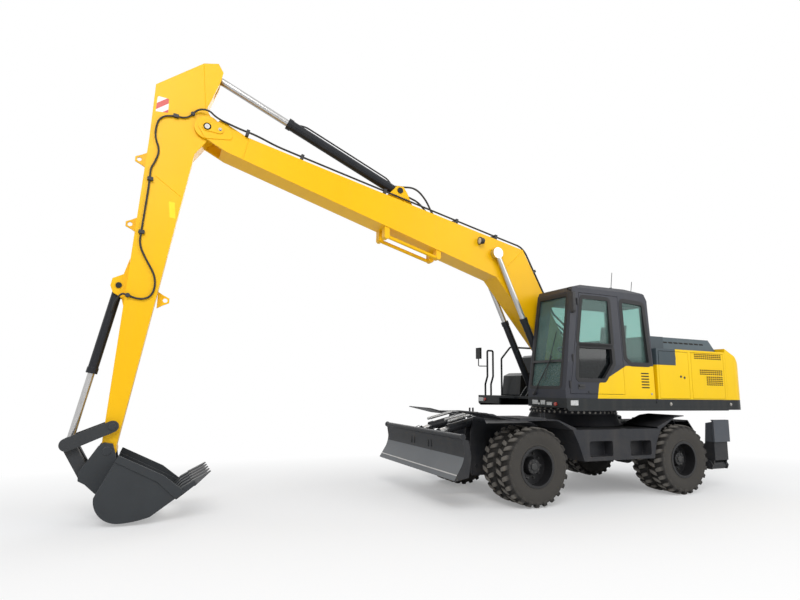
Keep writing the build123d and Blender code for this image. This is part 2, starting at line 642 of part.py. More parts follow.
# ---------------------------------------------------------------- upper frame
FOOT_IN, FOOT_OUT = BOOM_HALF + SIDE_PLAY, BOOM_HALF + SIDE_PLAY + 42
LIFT_EYE_HALF = 56
LIFT_EAR_T = 20
with BuildPart() as upper_frame:
    top_prism(
        [
            (DECK_FRONT_RIGHT, -UPPER_HALF), (DECK_FRONT_RIGHT, -560), (860, -430), (860, CAB_IN_Y - 30),
            (CAB_FRONT, CAB_IN_Y), (CAB_FRONT, UPPER_HALF), (WEIGHT_FRONT, UPPER_HALF), (WEIGHT_FRONT, -UPPER_HALF),
        ],
        DECK_TOP - 40, DECK_TOP,
    )
    for front, y_low, y_high in (
        (CAB_FRONT, UPPER_HALF - 40, UPPER_HALF), (DECK_FRONT_RIGHT, -UPPER_HALF, -UPPER_HALF + 40),
    ):
        side_prism(
            [
                (front, DECK_LOW + 40), (front, DECK_TOP), (WEIGHT_FRONT, DECK_TOP), (WEIGHT_FRONT, DECK_LOW),
                (front - 40, DECK_LOW),
            ],
            y_low, y_high,
        )
    block((DECK_FRONT_RIGHT - 30, DECK_FRONT_RIGHT), (-UPPER_HALF, -560), (DECK_LOW + 40, DECK_TOP))
    block((CAB_FRONT - 30, CAB_FRONT), (CAB_IN_Y, UPPER_HALF), (DECK_LOW + 40, DECK_TOP))
    with Locations((SLEW_X, 0, (DECK_LOW + DECK_TOP) / 2)):
        Cylinder(SLEW_RING_R - 20, DECK_TOP - DECK_LOW)
    for side in (-1, 1):
        side_prism(
            [
                (-620, DECK_TOP - 40), (-600, 1520), (60, 1980), (130, 2030), (250, 2030), (320, 1960),
                (430, 1620), (450, DECK_TOP - 40),
            ],
            *sorted((side * FOOT_IN, side * FOOT_OUT)),
        )
        side_disc(BOOM_FOOT, 60 + RUNNING, *sorted((side * 180, side * 260)), mode=Mode.SUBTRACT)
        block((-1700, -600), sorted((side * FOOT_IN, side * FOOT_OUT)), (DECK_LOW, DECK_TOP))
        for near_eye in (-1, 1):
            inner = BOOM_LIFT_Y + near_eye * (LIFT_EYE_HALF + SIDE_PLAY)
            outer = inner + near_eye * LIFT_EAR_T
            low, high = sorted((side * inner, side * outer))
            side_prism(
                [(470, DECK_TOP - 40), (552, 1590), (600, 1622), (650, 1622), (705, 1590), (850, DECK_TOP - 40)],
                low, high,
            )
            side_disc(BOOM_LIFT_BASE, 42 + RUNNING, low - 1, high + 1, mode=Mode.SUBTRACT)
keep(upper_frame.part, "upper_frame")

# ---------------------------------------------------------------- counterweight and engine
WEIGHT_SIDE = [
    (WEIGHT_FRONT, DECK_LOW + 12), (-TAIL_R + 60, DECK_LOW + 12), (-TAIL_R, DECK_LOW + 80), (-TAIL_R, 1760),
    (-2650, 1980), (-2480, 2170), (WEIGHT_FRONT, 2290),
]
LIFT_HOLE_R, LIFT_HOLE_DEEP, LIFT_HOLE_TOP, LIFT_HOLE_X = 30, 160, 2195, -2370
with BuildPart() as counterweight:
    side_prism(WEIGHT_SIDE, -UPPER_HALF, UPPER_HALF)
    tail_edges = counterweight.edges().filter_by(Axis.Z).group_by(Axis.X)[0]
    fillet(tail_edges, 280)
    for side in (-1, 1):
        with BuildSketch(top_plane(LIFT_HOLE_TOP - LIFT_HOLE_DEEP)) as eye:
            with Locations((LIFT_HOLE_X, side * 520)):
                Circle(LIFT_HOLE_R)
        extrude(eye.sketch, amount=300, mode=Mode.SUBTRACT)
keep(counterweight.part, "counterweight")

with BuildPart() as engine_block:
    block((-2080, -1000), (-330, 330), (DECK_TOP, 2080))
keep(engine_block.part, "engine_block")

# ---------------------------------------------------------------- engine housing, doors and hood
HOUSING_FRONT_DOORS = (BODY_FRONT - 40, DOOR_SPLIT_X + 30)
HOUSING_REAR_DOORS = (DOOR_SPLIT_X - 30, WEIGHT_FRONT + 50)
DOOR_LOW, DOOR_HIGH = DECK_TOP + 10, BODY_TOP - 35
HOOD_SIDE_LOW, HOOD_SIDE_HIGH = 1060, 930      # half widths of the hood at its foot and at its top
with BuildPart() as body_shell:
    block((WEIGHT_FRONT + 2, BODY_FRONT), (-UPPER_HALF, UPPER_HALF), (DECK_TOP, BODY_TOP))
    block(
        (WEIGHT_FRONT + 40, BODY_FRONT - PANEL_T), (-UPPER_HALF + PANEL_T, UPPER_HALF - PANEL_T),
        (DECK_TOP - 1, BODY_TOP - PANEL_T), mode=Mode.SUBTRACT,
    )
    for side in (-1, 1):
        side_range = sorted((side * (UPPER_HALF - PANEL_T - 1), side * (UPPER_HALF + 1)))
        for rear, front in (HOUSING_FRONT_DOORS[::-1], HOUSING_REAR_DOORS[::-1]):
            block((rear, front), side_range, (DOOR_LOW, DOOR_HIGH), mode=Mode.SUBTRACT)
    block(
        (WEIGHT_FRONT + 40, -980), (-HOOD_SIDE_HIGH + 20, HOOD_SIDE_HIGH - 20), (BODY_TOP - 60, BODY_TOP + 1),
        mode=Mode.SUBTRACT,
    )
    block(
        (-980 + 40, BODY_FRONT + 1), (-1100, 1100), (BODY_TOP - 1, HOOD_TOP - 20),
    )
keep(body_shell.part, "body_shell")

with BuildPart() as hood:
    cross_prism(
        [(-HOOD_SIDE_LOW, BODY_TOP + SEAM), (-HOOD_SIDE_HIGH, HOOD_TOP), (HOOD_SIDE_HIGH, HOOD_TOP),
         (HOOD_SIDE_LOW, BODY_TOP + SEAM)],
        WEIGHT_FRONT + 10, -950,
    )
    cross_prism(
        [
            (-HOOD_SIDE_LOW + 45, BODY_TOP), (-HOOD_SIDE_HIGH + 30, HOOD_TOP - PANEL_T),
            (HOOD_SIDE_HIGH - 30, HOOD_TOP - PANEL_T), (HOOD_SIDE_LOW - 45, BODY_TOP),
        ],
        WEIGHT_FRONT + 10 + PANEL_T, -950 - PANEL_T, mode=Mode.SUBTRACT,
    )
keep(hood.part, "hood")

SIDE_DOORS = (
    # name, side, rear and front edge
    ("left_front", 1, HOUSING_FRONT_DOORS[::-1]),
    ("left_rear", 1, HOUSING_REAR_DOORS[::-1]),
    ("right_rear", -1, HOUSING_REAR_DOORS[::-1]),
    ("right_front", -1, HOUSING_FRONT_DOORS[::-1]),
)
for name, side, (rear, front) in SIDE_DOORS:
    with BuildPart() as side_door:
        block(
            (rear + SEAM, front - SEAM), sorted((side * (UPPER_HALF - PANEL_T), side * UPPER_HALF)),
            (DOOR_LOW + SEAM, DOOR_HIGH - SEAM),
        )
    keep(side_door.part, "side_door_" + name)

# ---------------------------------------------------------------- right side tanks and tool box
with BuildPart() as tank_box:
    side_prism(
        [(-600, DECK_TOP), (-600, 2190), (60, 2190), (110, 2150), (110, DECK_TOP)], -UPPER_HALF, -520, corner=24,
    )
    side_prism(
        [(180, DECK_TOP), (180, 1850), (440, 1850), (560, 1800), (600, DECK_TOP)], -UPPER_HALF + 40, -640, corner=20,
    )
keep(tank_box.part, "tank_box")

# ---------------------------------------------------------------- cab
CAB_SIDE = [
    (CAB_REAR, DECK_TOP), (CAB_REAR, 2980), (CAB_REAR + 60, 3100), (-200, CAB_TOP), (700, CAB_TOP - 10),
    (900, CAB_TOP - 60), (935, 3020), (CAB_FRONT, 1560), (CAB_FRONT, DECK_TOP),
]
CAB_SECTION = [
    (CAB_IN_Y, DECK_TOP), (CAB_IN_Y, 3080), (CAB_IN_Y + 70, CAB_TOP), (1040, CAB_TOP), (1120, 3080), (1185, 1950),
    (UPPER_HALF - 15, DECK_TOP),
]
CAB_IN_SIDE = [
    (CAB_REAR + CAB_WALL, DECK_TOP + 50), (CAB_REAR + CAB_WALL, 2960), (-180, CAB_TOP - 70),
    (680, CAB_TOP - 75), (880, 3000), (CAB_FRONT - CAB_WALL, 1560), (CAB_FRONT - CAB_WALL, DECK_TOP + 50),
]
CAB_IN_SECTION = [
    (CAB_IN_Y + CAB_WALL, DECK_TOP + 50), (CAB_IN_Y + CAB_WALL, 3060), (CAB_IN_Y + 100, CAB_TOP - 60),
    (1030, CAB_TOP - 60), (1068, 3060), (1135, 1950), (UPPER_HALF - 65, DECK_TOP + 50),
]
DOOR_REAR_X = 30
DOOR_SHAPE = [(DOOR_REAR_X, DECK_TOP + 62), (DOOR_REAR_X, 3005), (800, 3005), (1075, 1560), (1075, DECK_TOP + 62)]
DOOR_WINDOWS = (
    [(230, 2240), (230, 2930), (745, 2930), (880, 2240)],
    [(230, 2190), (230, 1960), (420, 1720), (925, 1720), (880, 2190)],
)
REAR_SIDE_WINDOW = [(-40, 2060), (-40, 2930), (-480, 2910), (-520, 1980), (-130, 1980)]
WINDSHIELD_Y = (CAB_IN_Y + 60, 1080)


def crossed(side_shape, section):
    """Solid with a given side view and a given cross-section."""
    with BuildPart() as seen_from_side:
        side_prism(side_shape, 0, UPPER_HALF + 50)
    with BuildPart() as seen_from_front:
        cross_prism(section, CAB_REAR - 50, CAB_FRONT + 50)
    return seen_from_side.part & seen_from_front.part


cab_outside = crossed(CAB_SIDE, CAB_SECTION)
cab_inside = crossed(CAB_IN_SIDE, CAB_IN_SECTION)
door_skin = crossed(
    DOOR_SHAPE,
    [(1120, 3080), (1185, 1950), (UPPER_HALF - 15, DECK_TOP), (UPPER_HALF - 65, DECK_TOP), (1135, 1950), (1070, 3080)],
)
with BuildPart() as cab_shell:
    add(cab_outside)
    add(cab_inside, mode=Mode.SUBTRACT)
    side_prism(DOOR_SHAPE, 1000, UPPER_HALF + 40, mode=Mode.SUBTRACT)
    side_prism(REAR_SIDE_WINDOW, 1000, UPPER_HALF + 40, mode=Mode.SUBTRACT, corner=40)
    side_prism(
        [(-480, 2060), (-480, 2900), (700, 2900), (880, 1980), (250, 1980)], CAB_IN_Y - 20, CAB_IN_Y + 100,
        mode=Mode.SUBTRACT, corner=40,
    )
    cross_prism(
        [(WINDSHIELD_Y[0], 1600), (WINDSHIELD_Y[0], 2960), (WINDSHIELD_Y[1] - 45, 2960), (WINDSHIELD_Y[1], 1600)],
        820, CAB_FRONT + 20, mode=Mode.SUBTRACT, corner=30,
    )
    cross_prism(
        [(CAB_IN_Y + 90, 2080), (CAB_IN_Y + 90, 2900), (1010, 2900), (1060, 2080)], CAB_REAR - 20, CAB_REAR + 100,
        mode=Mode.SUBTRACT, corner=40,
    )
keep(cab_shell.part, "cab_shell")

with BuildPart() as cab_door:
    with BuildSketch(side_plane(UPPER_HALF + 40)) as view:
        with BuildLine():
            Polyline(*DOOR_SHAPE, close=True)
        make_face()
        offset(amount=-SEAM, kind=Kind.INTERSECTION)
    extrude(view.sketch, amount=300)
    add(door_skin, mode=Mode.INTERSECT)
    for window in DOOR_WINDOWS:
        side_prism(window, 1000, UPPER_HALF + 40, mode=Mode.SUBTRACT, corner=30)
keep(cab_door.part, "cab_door")

GLASS_T = 6


def pane(points, plane, corner):
    """Sheet of glass on a plane, a little smaller than the hole that it closes."""
    with BuildSketch(plane) as view:
        with BuildLine():
            Polyline(*points, close=True)
        make_face()
        fillet(view.vertices(), corner)
        offset(amount=-RUNNING)
    extrude(view.sketch, amount=GLASS_T)


with BuildPart() as cab_glass:
    pane(REAR_SIDE_WINDOW, side_plane(1118), 40)
    pane([(-480, 2060), (-480, 2900), (700, 2900), (880, 1980), (250, 1980)], side_plane(CAB_IN_Y + 30), 40)
    pane(
        [(CAB_IN_Y + 90, 2080), (CAB_IN_Y + 90, 2900), (1010, 2900), (1060, 2080)], cross_plane(CAB_REAR + 20), 40,
    )
    lean = math.atan2(CAB_FRONT - 935, 3020 - 1560)
    screen = Plane(
        origin=(SLEW_X + CAB_FRONT - 30, 0, 1560), x_dir=(0, 1, 0), z_dir=(math.cos(lean), 0, math.sin(lean)),
    )
    pane(
        [
            (WINDSHIELD_Y[0], 45), (WINDSHIELD_Y[0], 1415), (WINDSHIELD_Y[1] - 45, 1415), (WINDSHIELD_Y[1], 45),
        ],
        screen, 30,
    )
keep(cab_glass.part, "cab_glass")

with BuildPart() as door_glass:
    for window in DOOR_WINDOWS:
        pane(window, side_plane(1120), 30)
keep(door_glass.part, "door_glass")

SEAT_X, SEAT_Y = 60, 770
with BuildPart() as seat:
    block((SEAT_X - 180, SEAT_X + 200), (SEAT_Y - 180, SEAT_Y + 180), (DECK_TOP + 50, 1820))
    block((SEAT_X - 230, SEAT_X + 270), (SEAT_Y - 250, SEAT_Y + 250), (1820, 1950))
    side_prism(
        [(SEAT_X - 230, 1900), (SEAT_X - 130, 1940), (SEAT_X - 230, 2600), (SEAT_X - 330, 2600)],
        SEAT_Y - 240, SEAT_Y + 240, corner=30,
    )
    side_prism(
        [(SEAT_X - 245, 2590), (SEAT_X - 320, 2590), (SEAT_X - 335, 2790), (SEAT_X - 265, 2790)],
        SEAT_Y - 140, SEAT_Y + 140, corner=25,
    )
keep(seat.part, "seat")

with BuildPart() as console:
    for side in (-1, 1):
        low, high = sorted((SEAT_Y + side * 260, SEAT_Y + side * 322))
        block((SEAT_X - 200, SEAT_X + 330), (low, high), (DECK_TOP + 50, 2060))
        bar((SEAT_X + 270, (low + high) / 2, 2050), (SEAT_X + 300, (low + high) / 2, 2230), 16)
        bar((SEAT_X + 298, (low + high) / 2, 2215), (SEAT_X + 310, (low + high) / 2, 2290), 26)
    bar((880, SEAT_Y, DECK_TOP + 50), (700, SEAT_Y, 2130), 45)
    block((780, 980), (SEAT_Y - 80, SEAT_Y + 80), (DECK_TOP, DECK_TOP + 50), mode=Mode.SUBTRACT)
    tilt = Plane(origin=(SLEW_X + 695, SEAT_Y, 2150), z_dir=(-0.4, 0, 1))
    with BuildSketch(tilt) as wheel:
        Circle(175)
        Circle(148, mode=Mode.SUBTRACT)
        Rectangle(310, 26)
        Circle(40)
    extrude(wheel.sketch, amount=-24)
keep(console.part, "console")

# ---------------------------------------------------------------- rails, mirrors and lamps
with BuildPart() as rails:
    tube(
        [
            (1020, -1080, DECK_TOP), (1020, -1080, 1640), (1020, -1010, 1780), (1020, -1010, 2240),
            (900, -1010, 2240), (900, -1010, 1780), (900, -1080, 1640), (900, -1080, DECK_TOP),
        ],
        17, 28,
    )
    tube([(660, -1090, DECK_TOP), (660, -1090, 2110), (460, -1090, 2330), (-80, -1090, 2330), (-80, -1090, 2190)], 17, 60)
    tube([(1015, -1010, 1960), (1150, -1100, 1960), (1150, -1100, 2120)], 9, 20)
    block((1125, 1160), (-1175, -1035), (2090, 2290))
keep(rails.part, "rails_right")

with BuildPart() as cab_trim:
    tube([(905, 1000, 3065), (960, 1080, 3065), (960, 1160, 3065), (960, 1160, 2990)], 9, 20)
    block((930, 965), (1085, 1195), (2690, 2995))
    add(cab_outside, mode=Mode.SUBTRACT)
keep(cab_trim.part, "cab_mirror")

LAMPS = (
    # centre x, y, z of the lamp's back, width, height
    (CAB_FRONT, 520, 1372, 120, 62),
    (CAB_FRONT, 700, 1372, 90, 62),
    (DECK_FRONT_RIGHT, -1110, 1372, 150, 66),
)
with BuildPart() as front_lamps:
    for x, y, z, width, height in LAMPS:
        block((x, x + 14), (y - width / 2, y + width / 2), (z - height / 2, z + height / 2))
keep(front_lamps.part, "front_lamps")

# ---------------------------------------------------------------- boom
FORK_R = 330                  # reach of the arm's boss inside the boom's fork
LIFT_BARREL_R = 56
LIFT_ROD_EYE_HALF = 45
LIFT_ROD_TAIL = 590           # piston end, clear of the barrel's foot when the boom is down
ARM_BARREL_R = 74
LIFT_BARREL = 1264
ARM_BARREL = 1893
ARM_CYL_EAR_IN = ARM_BARREL_R + SIDE_PLAY
ARM_CYL_EAR_OUT = ARM_CYL_EAR_IN + 28
BOOM_TOP_EDGE = [(45, 1935), (1095, 3830), (2200, 4075), (5600, 4850), (5960, 5020)]
BOOM_LOW_EDGE = [(6150, 4740), (5850, 4590), (1620, 3325), (345, 1840)]
with BuildPart() as boom:
    side_prism([*BOOM_TOP_EDGE, *BOOM_LOW_EDGE], -BOOM_HALF, BOOM_HALF)
    side_disc(BOOM_FOOT, 150, -BOOM_HALF, BOOM_HALF)
    side_disc(BOOM_TIP, 158, -BOOM_HALF, BOOM_HALF)
    side_disc(BOOM_TIP, FORK_R, -BOOM_HALF + BOOM_CHEEK, BOOM_HALF - BOOM_CHEEK, mode=Mode.SUBTRACT)
    side_disc(BOOM_TIP, 50, -BOOM_HALF - 22, BOOM_HALF + 22)
    side_disc(BOOM_FOOT, 60, -FOOT_OUT - 20, FOOT_OUT + 20)
    boss = BOOM_LIFT_Y - LIFT_ROD_EYE_HALF - SIDE_PLAY
    side_disc(BOOM_LIFT_PIN, 105, -boss, boss)
    for side in (-1, 1):
        side_prism(
            [(3050, 4230), (3180, 4500), (3240, 4585), (3350, 4585), (3410, 4510), (3560, 4350)],
            *sorted((side * ARM_CYL_EAR_IN, side * ARM_CYL_EAR_OUT)),
        )
        side_disc(ARM_BASE_PIN, 45 + RUNNING, *sorted((side * 50, side * 140)), mode=Mode.SUBTRACT)
keep(boom.part, "boom")

with BuildPart() as boom_barrels:
    for side in (-1, 1):
        y = side * BOOM_LIFT_Y
        barrel(
            BOOM_LIFT_BASE, BOOM_LIFT_PIN, LIFT_BARREL, y, LIFT_BARREL_R, 74, LIFT_EYE_HALF, 42,
            LIFT_EYE_HALF + SIDE_PLAY + LIFT_EAR_T,
        )
        barrel_bore(BOOM_LIFT_BASE, BOOM_LIFT_PIN, LIFT_BARREL, y, 42, 110)
keep(boom_barrels.part, "boom_barrels")

with BuildPart() as boom_rods:
    for side in (-1, 1):
        rod(BOOM_LIFT_BASE, BOOM_LIFT_PIN, LIFT_ROD_TAIL, side * BOOM_LIFT_Y, 42, 88, LIFT_ROD_EYE_HALF)
keep(boom_rods.part, "boom_rods")

with BuildPart() as arm_barrel:
    barrel(ARM_BASE_PIN, ARM_ROD_PIN, ARM_BARREL, 0, ARM_BARREL_R, 88, ARM_BARREL_R, 45, ARM_CYL_EAR_OUT + 14)
    barrel_bore(ARM_BASE_PIN, ARM_ROD_PIN, ARM_BARREL, 0, 50, 120)
keep(arm_barrel.part, "arm_barrel")

ARM_EYE_HALF = 58
ARM_ROD_TAIL = 1080           # piston end, clear of the barrel's foot when the arm is curled in
with BuildPart() as arm_rod:
    rod(ARM_BASE_PIN, ARM_ROD_PIN, ARM_ROD_TAIL, 0, 50, 92, ARM_EYE_HALF)
keep(arm_rod.part, "arm_rod")

# ---------------------------------------------------------------- arm
ARM_OUTLINE = [
    (6767, 5345), (6215, 5790), (6030, 5835), (5960, 5720), (5985, 5590), (6134, 5150), (5990, 4900), (6060, 4770),
    (6240, 4500), (6815, 830), (6965, 850), (6785, 4600),
]
ARM_LUGS = (
    # hole x, z and the side that the lug's root lies on
    ((6880, 4360), -1),
    ((6912, 3500), -1),
    ((6436, 2575), 1),
)
LUG_HOLE_R = 28
ARM_EAR_IN = ARM_EYE_HALF + SIDE_PLAY
with BuildPart() as arm:
    side_prism(ARM_OUTLINE, -ARM_HALF, ARM_HALF)
    side_disc(BOOM_TIP, 140, -ARM_HALF, ARM_HALF)
    side_disc(BUCKET_PIN, 95, -ARM_HALF, ARM_HALF)
    side_disc(BOOM_TIP, 50 + RUNNING, -ARM_HALF - 1, ARM_HALF + 1, mode=Mode.SUBTRACT)
    side_disc(ROCKER_PIN, 38 + RUNNING, -ARM_HALF - 1, ARM_HALF + 1, mode=Mode.SUBTRACT)
    side_disc(BUCKET_PIN, 45 + RUNNING, -ARM_HALF - 1, ARM_HALF + 1, mode=Mode.SUBTRACT)
    side_prism(
        [(5700, 5450), (6080, 5400), (6560, 5500), (6900, 5700), (6500, 6000), (5700, 6000)],
        -ARM_EAR_IN, ARM_EAR_IN, mode=Mode.SUBTRACT,
    )
keep(arm.part, "arm")

with BuildPart() as arm_brackets:
    for side in (-1, 1):
        side_prism(
            [(6868, 3050), (6920, 2850), (7035, 2790), (7050, 2700), (7020, 2620), (6920, 2560), (6880, 2420)],
            *sorted((side * 58, side * 88)),
        )
        side_disc(BUCKET_BASE_PIN, 34 + RUNNING, *sorted((side * 50, side * 95)), mode=Mode.SUBTRACT)
    for hole, root in ARM_LUGS:
        side_prism(
            [
                (hole[0] + root * 90, hole[1] + 105), (hole[0] + root * 20, hole[1] + 62),
                (hole[0] - root * 48, hole[1] + 28), (hole[0] - root * 48, hole[1] - 28),
                (hole[0] + root * 20, hole[1] - 62), (hole[0] + root * 90, hole[1] - 105),
            ],
            -14, 14,
        )
        side_disc(hole, LUG_HOLE_R, -15, 15, mode=Mode.SUBTRACT)
    add(arm.part, mode=Mode.SUBTRACT)
keep(arm_brackets.part, "arm_brackets")

BUCKET_BARREL = 1073
BUCKET_ROD_TAIL = 640         # piston end, clear of the barrel's foot when the bucket is opened
with BuildPart() as bucket_barrel:
    barrel(BUCKET_BASE_PIN, ROCKER_END, BUCKET_BARREL, 0, 56, 66, 50, 34, 88 + 14)
    barrel_bore(BUCKET_BASE_PIN, ROCKER_END, BUCKET_BARREL, 0, 38, 100)
keep(bucket_barrel.part, "bucket_barrel")

with BuildPart() as bucket_rod:
    rod(BUCKET_BASE_PIN, ROCKER_END, BUCKET_ROD_TAIL, 0, 38, 70, 50)
keep(bucket_rod.part, "bucket_rod")

# ---------------------------------------------------------------- bucket linkage
LINK_IN = 50 + SIDE_PLAY
LINK_OUT = ARM_HALF
EAR_IN, EAR_OUT = ARM_HALF + SIDE_PLAY, ARM_HALF + SIDE_PLAY + EAR_T
ROCKER_IN, ROCKER_OUT = EAR_OUT + SIDE_PLAY, EAR_OUT + SIDE_PLAY + ROCKER_T
with BuildPart() as rocker:
    for side in (-1, 1):
        low, high = sorted((side * ROCKER_IN, side * ROCKER_OUT))
        strap(ROCKER_PIN, ROCKER_END, 66, ROCKER_BOSS_R, low, high)
        side_disc(ROCKER_END, 36, *sorted((side * LINK_IN, side * ROCKER_OUT)))
    side_disc(ROCKER_PIN, 38, -ROCKER_OUT - 12, ROCKER_OUT + 12)
keep(rocker.part, "rocker")

with BuildPart() as bucket_link:
    for side in (-1, 1):
        low, high = sorted((side * LINK_IN, side * LINK_OUT))
        strap(ROCKER_END, BUCKET_LINK_PIN, 64, 64, low, high)
        side_disc(ROCKER_END, 36 + RUNNING, low - 1, high + 1, mode=Mode.SUBTRACT)
    strap(between(ROCKER_END, BUCKET_LINK_PIN, 0.62), BUCKET_LINK_PIN, 50, 64, -LINK_OUT, LINK_OUT)
keep(bucket_link.part, "bucket_link")

# ---------------------------------------------------------------- bucket
BUCKET_SKIN = 26
SHELL_TOP = (6790, 700)
SHELL_BACK = (6975, 320)
SHELL_DEEP = (6700, BUCKET_LOW)
SHELL_FLAT = (6400, 85)
LIP = (6060, 330)


def bucket_profile(inset):
    """Outer line of the bucket's shell, moved inwards by a distance."""
    top = (SHELL_TOP[0] - inset, SHELL_TOP[1] - 0.4 * inset)
    back = (SHELL_BACK[0] - inset, SHELL_BACK[1])
    deep = (SHELL_DEEP[0], SHELL_DEEP[1] + inset)
    flat = (SHELL_FLAT[0] + 0.45 * inset, SHELL_FLAT[1] + 0.9 * inset)
    lip = (LIP[0] + 0.5 * inset, LIP[1] + 0.85 * inset)
    Line(top, back)
    arc = ThreePointArc(back, (6925, 150) if not inset else (6925 - 0.7 * inset, 150 + 0.7 * inset), deep)
    TangentArc(deep, flat, tangent=arc % 1)
    Line(flat, lip)
    Line(lip, top)


with BuildPart() as bucket:
    with BuildSketch(side_plane(BUCKET_HALF)) as outside:
        with BuildLine():
            bucket_profile(0)
        make_face()
    extrude(outside.sketch, amount=2 * BUCKET_HALF)
    with BuildSketch(side_plane(BUCKET_HALF - 22)) as inside:
        with BuildLine():
            bucket_profile(BUCKET_SKIN)
        make_face()
    extrude(inside.sketch, amount=2 * (BUCKET_HALF - 22), mode=Mode.SUBTRACT)
    side_prism(
        [(6820, 620), (6765, 745), (6200, 470), (6060, 345), (6300, 130)], -BUCKET_HALF + 22, BUCKET_HALF - 22,
        mode=Mode.SUBTRACT,
    )
    for side in (-1, 1):
        side_prism(
            [
                (6815, 760), (6850, 865), (6940, 880), (6995, 840), (7165, 560), (7160, 470), (7090, 430),
                (6985, 330), (6940, 300), (6790, 640),
            ],
            *sorted((side * EAR_IN, side * EAR_OUT)),
        )
    side_disc(BUCKET_PIN, 45, -EAR_OUT - 8, EAR_OUT + 8)
keep(bucket.part, "bucket")
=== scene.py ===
"""Looks of the wheeled excavator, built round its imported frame.

Metres throughout. Side views are drawn as (x, z) with x counted forward from the slewing axis and z up from
the ground, as in the part's source, and at() turns such a place into the row's frame.
"""

import json
import math

import bmesh
import bpy
from mathutils import Matrix, Vector


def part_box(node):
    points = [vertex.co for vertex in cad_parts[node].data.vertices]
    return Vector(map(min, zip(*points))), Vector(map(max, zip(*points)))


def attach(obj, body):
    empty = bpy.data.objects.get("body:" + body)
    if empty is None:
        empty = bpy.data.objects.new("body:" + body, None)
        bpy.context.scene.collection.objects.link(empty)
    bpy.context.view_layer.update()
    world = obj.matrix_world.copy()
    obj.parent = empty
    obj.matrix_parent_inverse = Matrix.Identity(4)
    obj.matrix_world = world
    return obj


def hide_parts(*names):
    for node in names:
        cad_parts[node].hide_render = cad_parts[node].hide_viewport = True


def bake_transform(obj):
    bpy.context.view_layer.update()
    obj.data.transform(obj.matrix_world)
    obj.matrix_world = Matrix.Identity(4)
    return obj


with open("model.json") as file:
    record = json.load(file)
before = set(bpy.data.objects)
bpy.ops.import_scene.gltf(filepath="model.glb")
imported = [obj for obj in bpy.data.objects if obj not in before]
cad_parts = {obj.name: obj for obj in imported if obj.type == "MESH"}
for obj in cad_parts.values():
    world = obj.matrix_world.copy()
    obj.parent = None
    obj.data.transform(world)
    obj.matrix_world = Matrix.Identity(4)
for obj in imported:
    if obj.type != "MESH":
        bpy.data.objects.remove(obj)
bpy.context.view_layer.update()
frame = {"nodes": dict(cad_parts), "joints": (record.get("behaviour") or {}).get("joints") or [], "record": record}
RECORD = frame["record"]
JOINTS = {joint["name"]: joint for joint in frame["joints"]}
BODY_OF = {node: body for body, nodes in RECORD["behaviour"]["bodies"].items() for node in nodes}
SLEW_X = JOINTS["slew"]["pos_m"][0]


def at(x, y, z):
    """Place in the row's frame of a point given from the slewing axis."""
    return Vector((SLEW_X + x, y, z))


def pin(joint):
    """(x, z) of a joint's axis, from the slewing axis."""
    place = JOINTS[joint]["pos_m"]
    return place[0] - SLEW_X, place[2]


# ---------------------------------------------------------------- sizes that several pieces share
TYRE_R = 0.526
CROWN_R = TYRE_R - 0.0015                # top of the tread, just inside the solid tyre
RIM_R = 0.274
DECK_TOP = 1.443
BODY_SIDE_Y = 1.210
BOOM_SIDE_Y = 0.190
ARM_SIDE_Y = 0.150
BUCKET_SIDE_Y = 0.420
HOSE_R = 0.017


# ---------------------------------------------------------------- camera and lamps
CAMERA_PLACE = at(6.457, 7.288, 1.557)
CAMERA_YAW = math.radians(-113.959)
CAMERA_PITCH = math.radians(9.191)
CAMERA_ROLL = math.radians(1.007)
LENS = 24.243


def make_camera():
    """The camera, turned by yaw from +X, pitch above the horizon and roll."""
    forward = Vector((
        math.cos(CAMERA_PITCH) * math.cos(CAMERA_YAW),
        math.cos(CAMERA_PITCH) * math.sin(CAMERA_YAW),
        math.sin(CAMERA_PITCH),
    ))
    level = forward.cross(Vector((0, 0, 1))).normalized()
    upright = level.cross(forward)
    right = level * math.cos(CAMERA_ROLL) + upright * math.sin(CAMERA_ROLL)
    top = upright * math.cos(CAMERA_ROLL) - level * math.sin(CAMERA_ROLL)
    camera = bpy.data.objects.new("camera", bpy.data.cameras.new("camera"))
    camera.data.lens = LENS
    camera.data.clip_end = 200
    turn = Matrix((right, top, -forward)).transposed().to_4x4()
    camera.matrix_world = Matrix.Translation(CAMERA_PLACE) @ turn
    bpy.context.scene.collection.objects.link(camera)
    bpy.context.scene.camera = camera


def soft_lamp(name, place, target, size, power):
    """A square studio lamp aimed at a point."""
    lamp = bpy.data.objects.new(name, bpy.data.lights.new(name, "AREA"))
    lamp.data.size = size
    lamp.data.energy = power
    lamp.location = place
    lamp.rotation_mode = "QUATERNION"
    lamp.rotation_quaternion = (target - place).to_track_quat("-Z", "Y")
    bpy.context.scene.collection.objects.link(lamp)


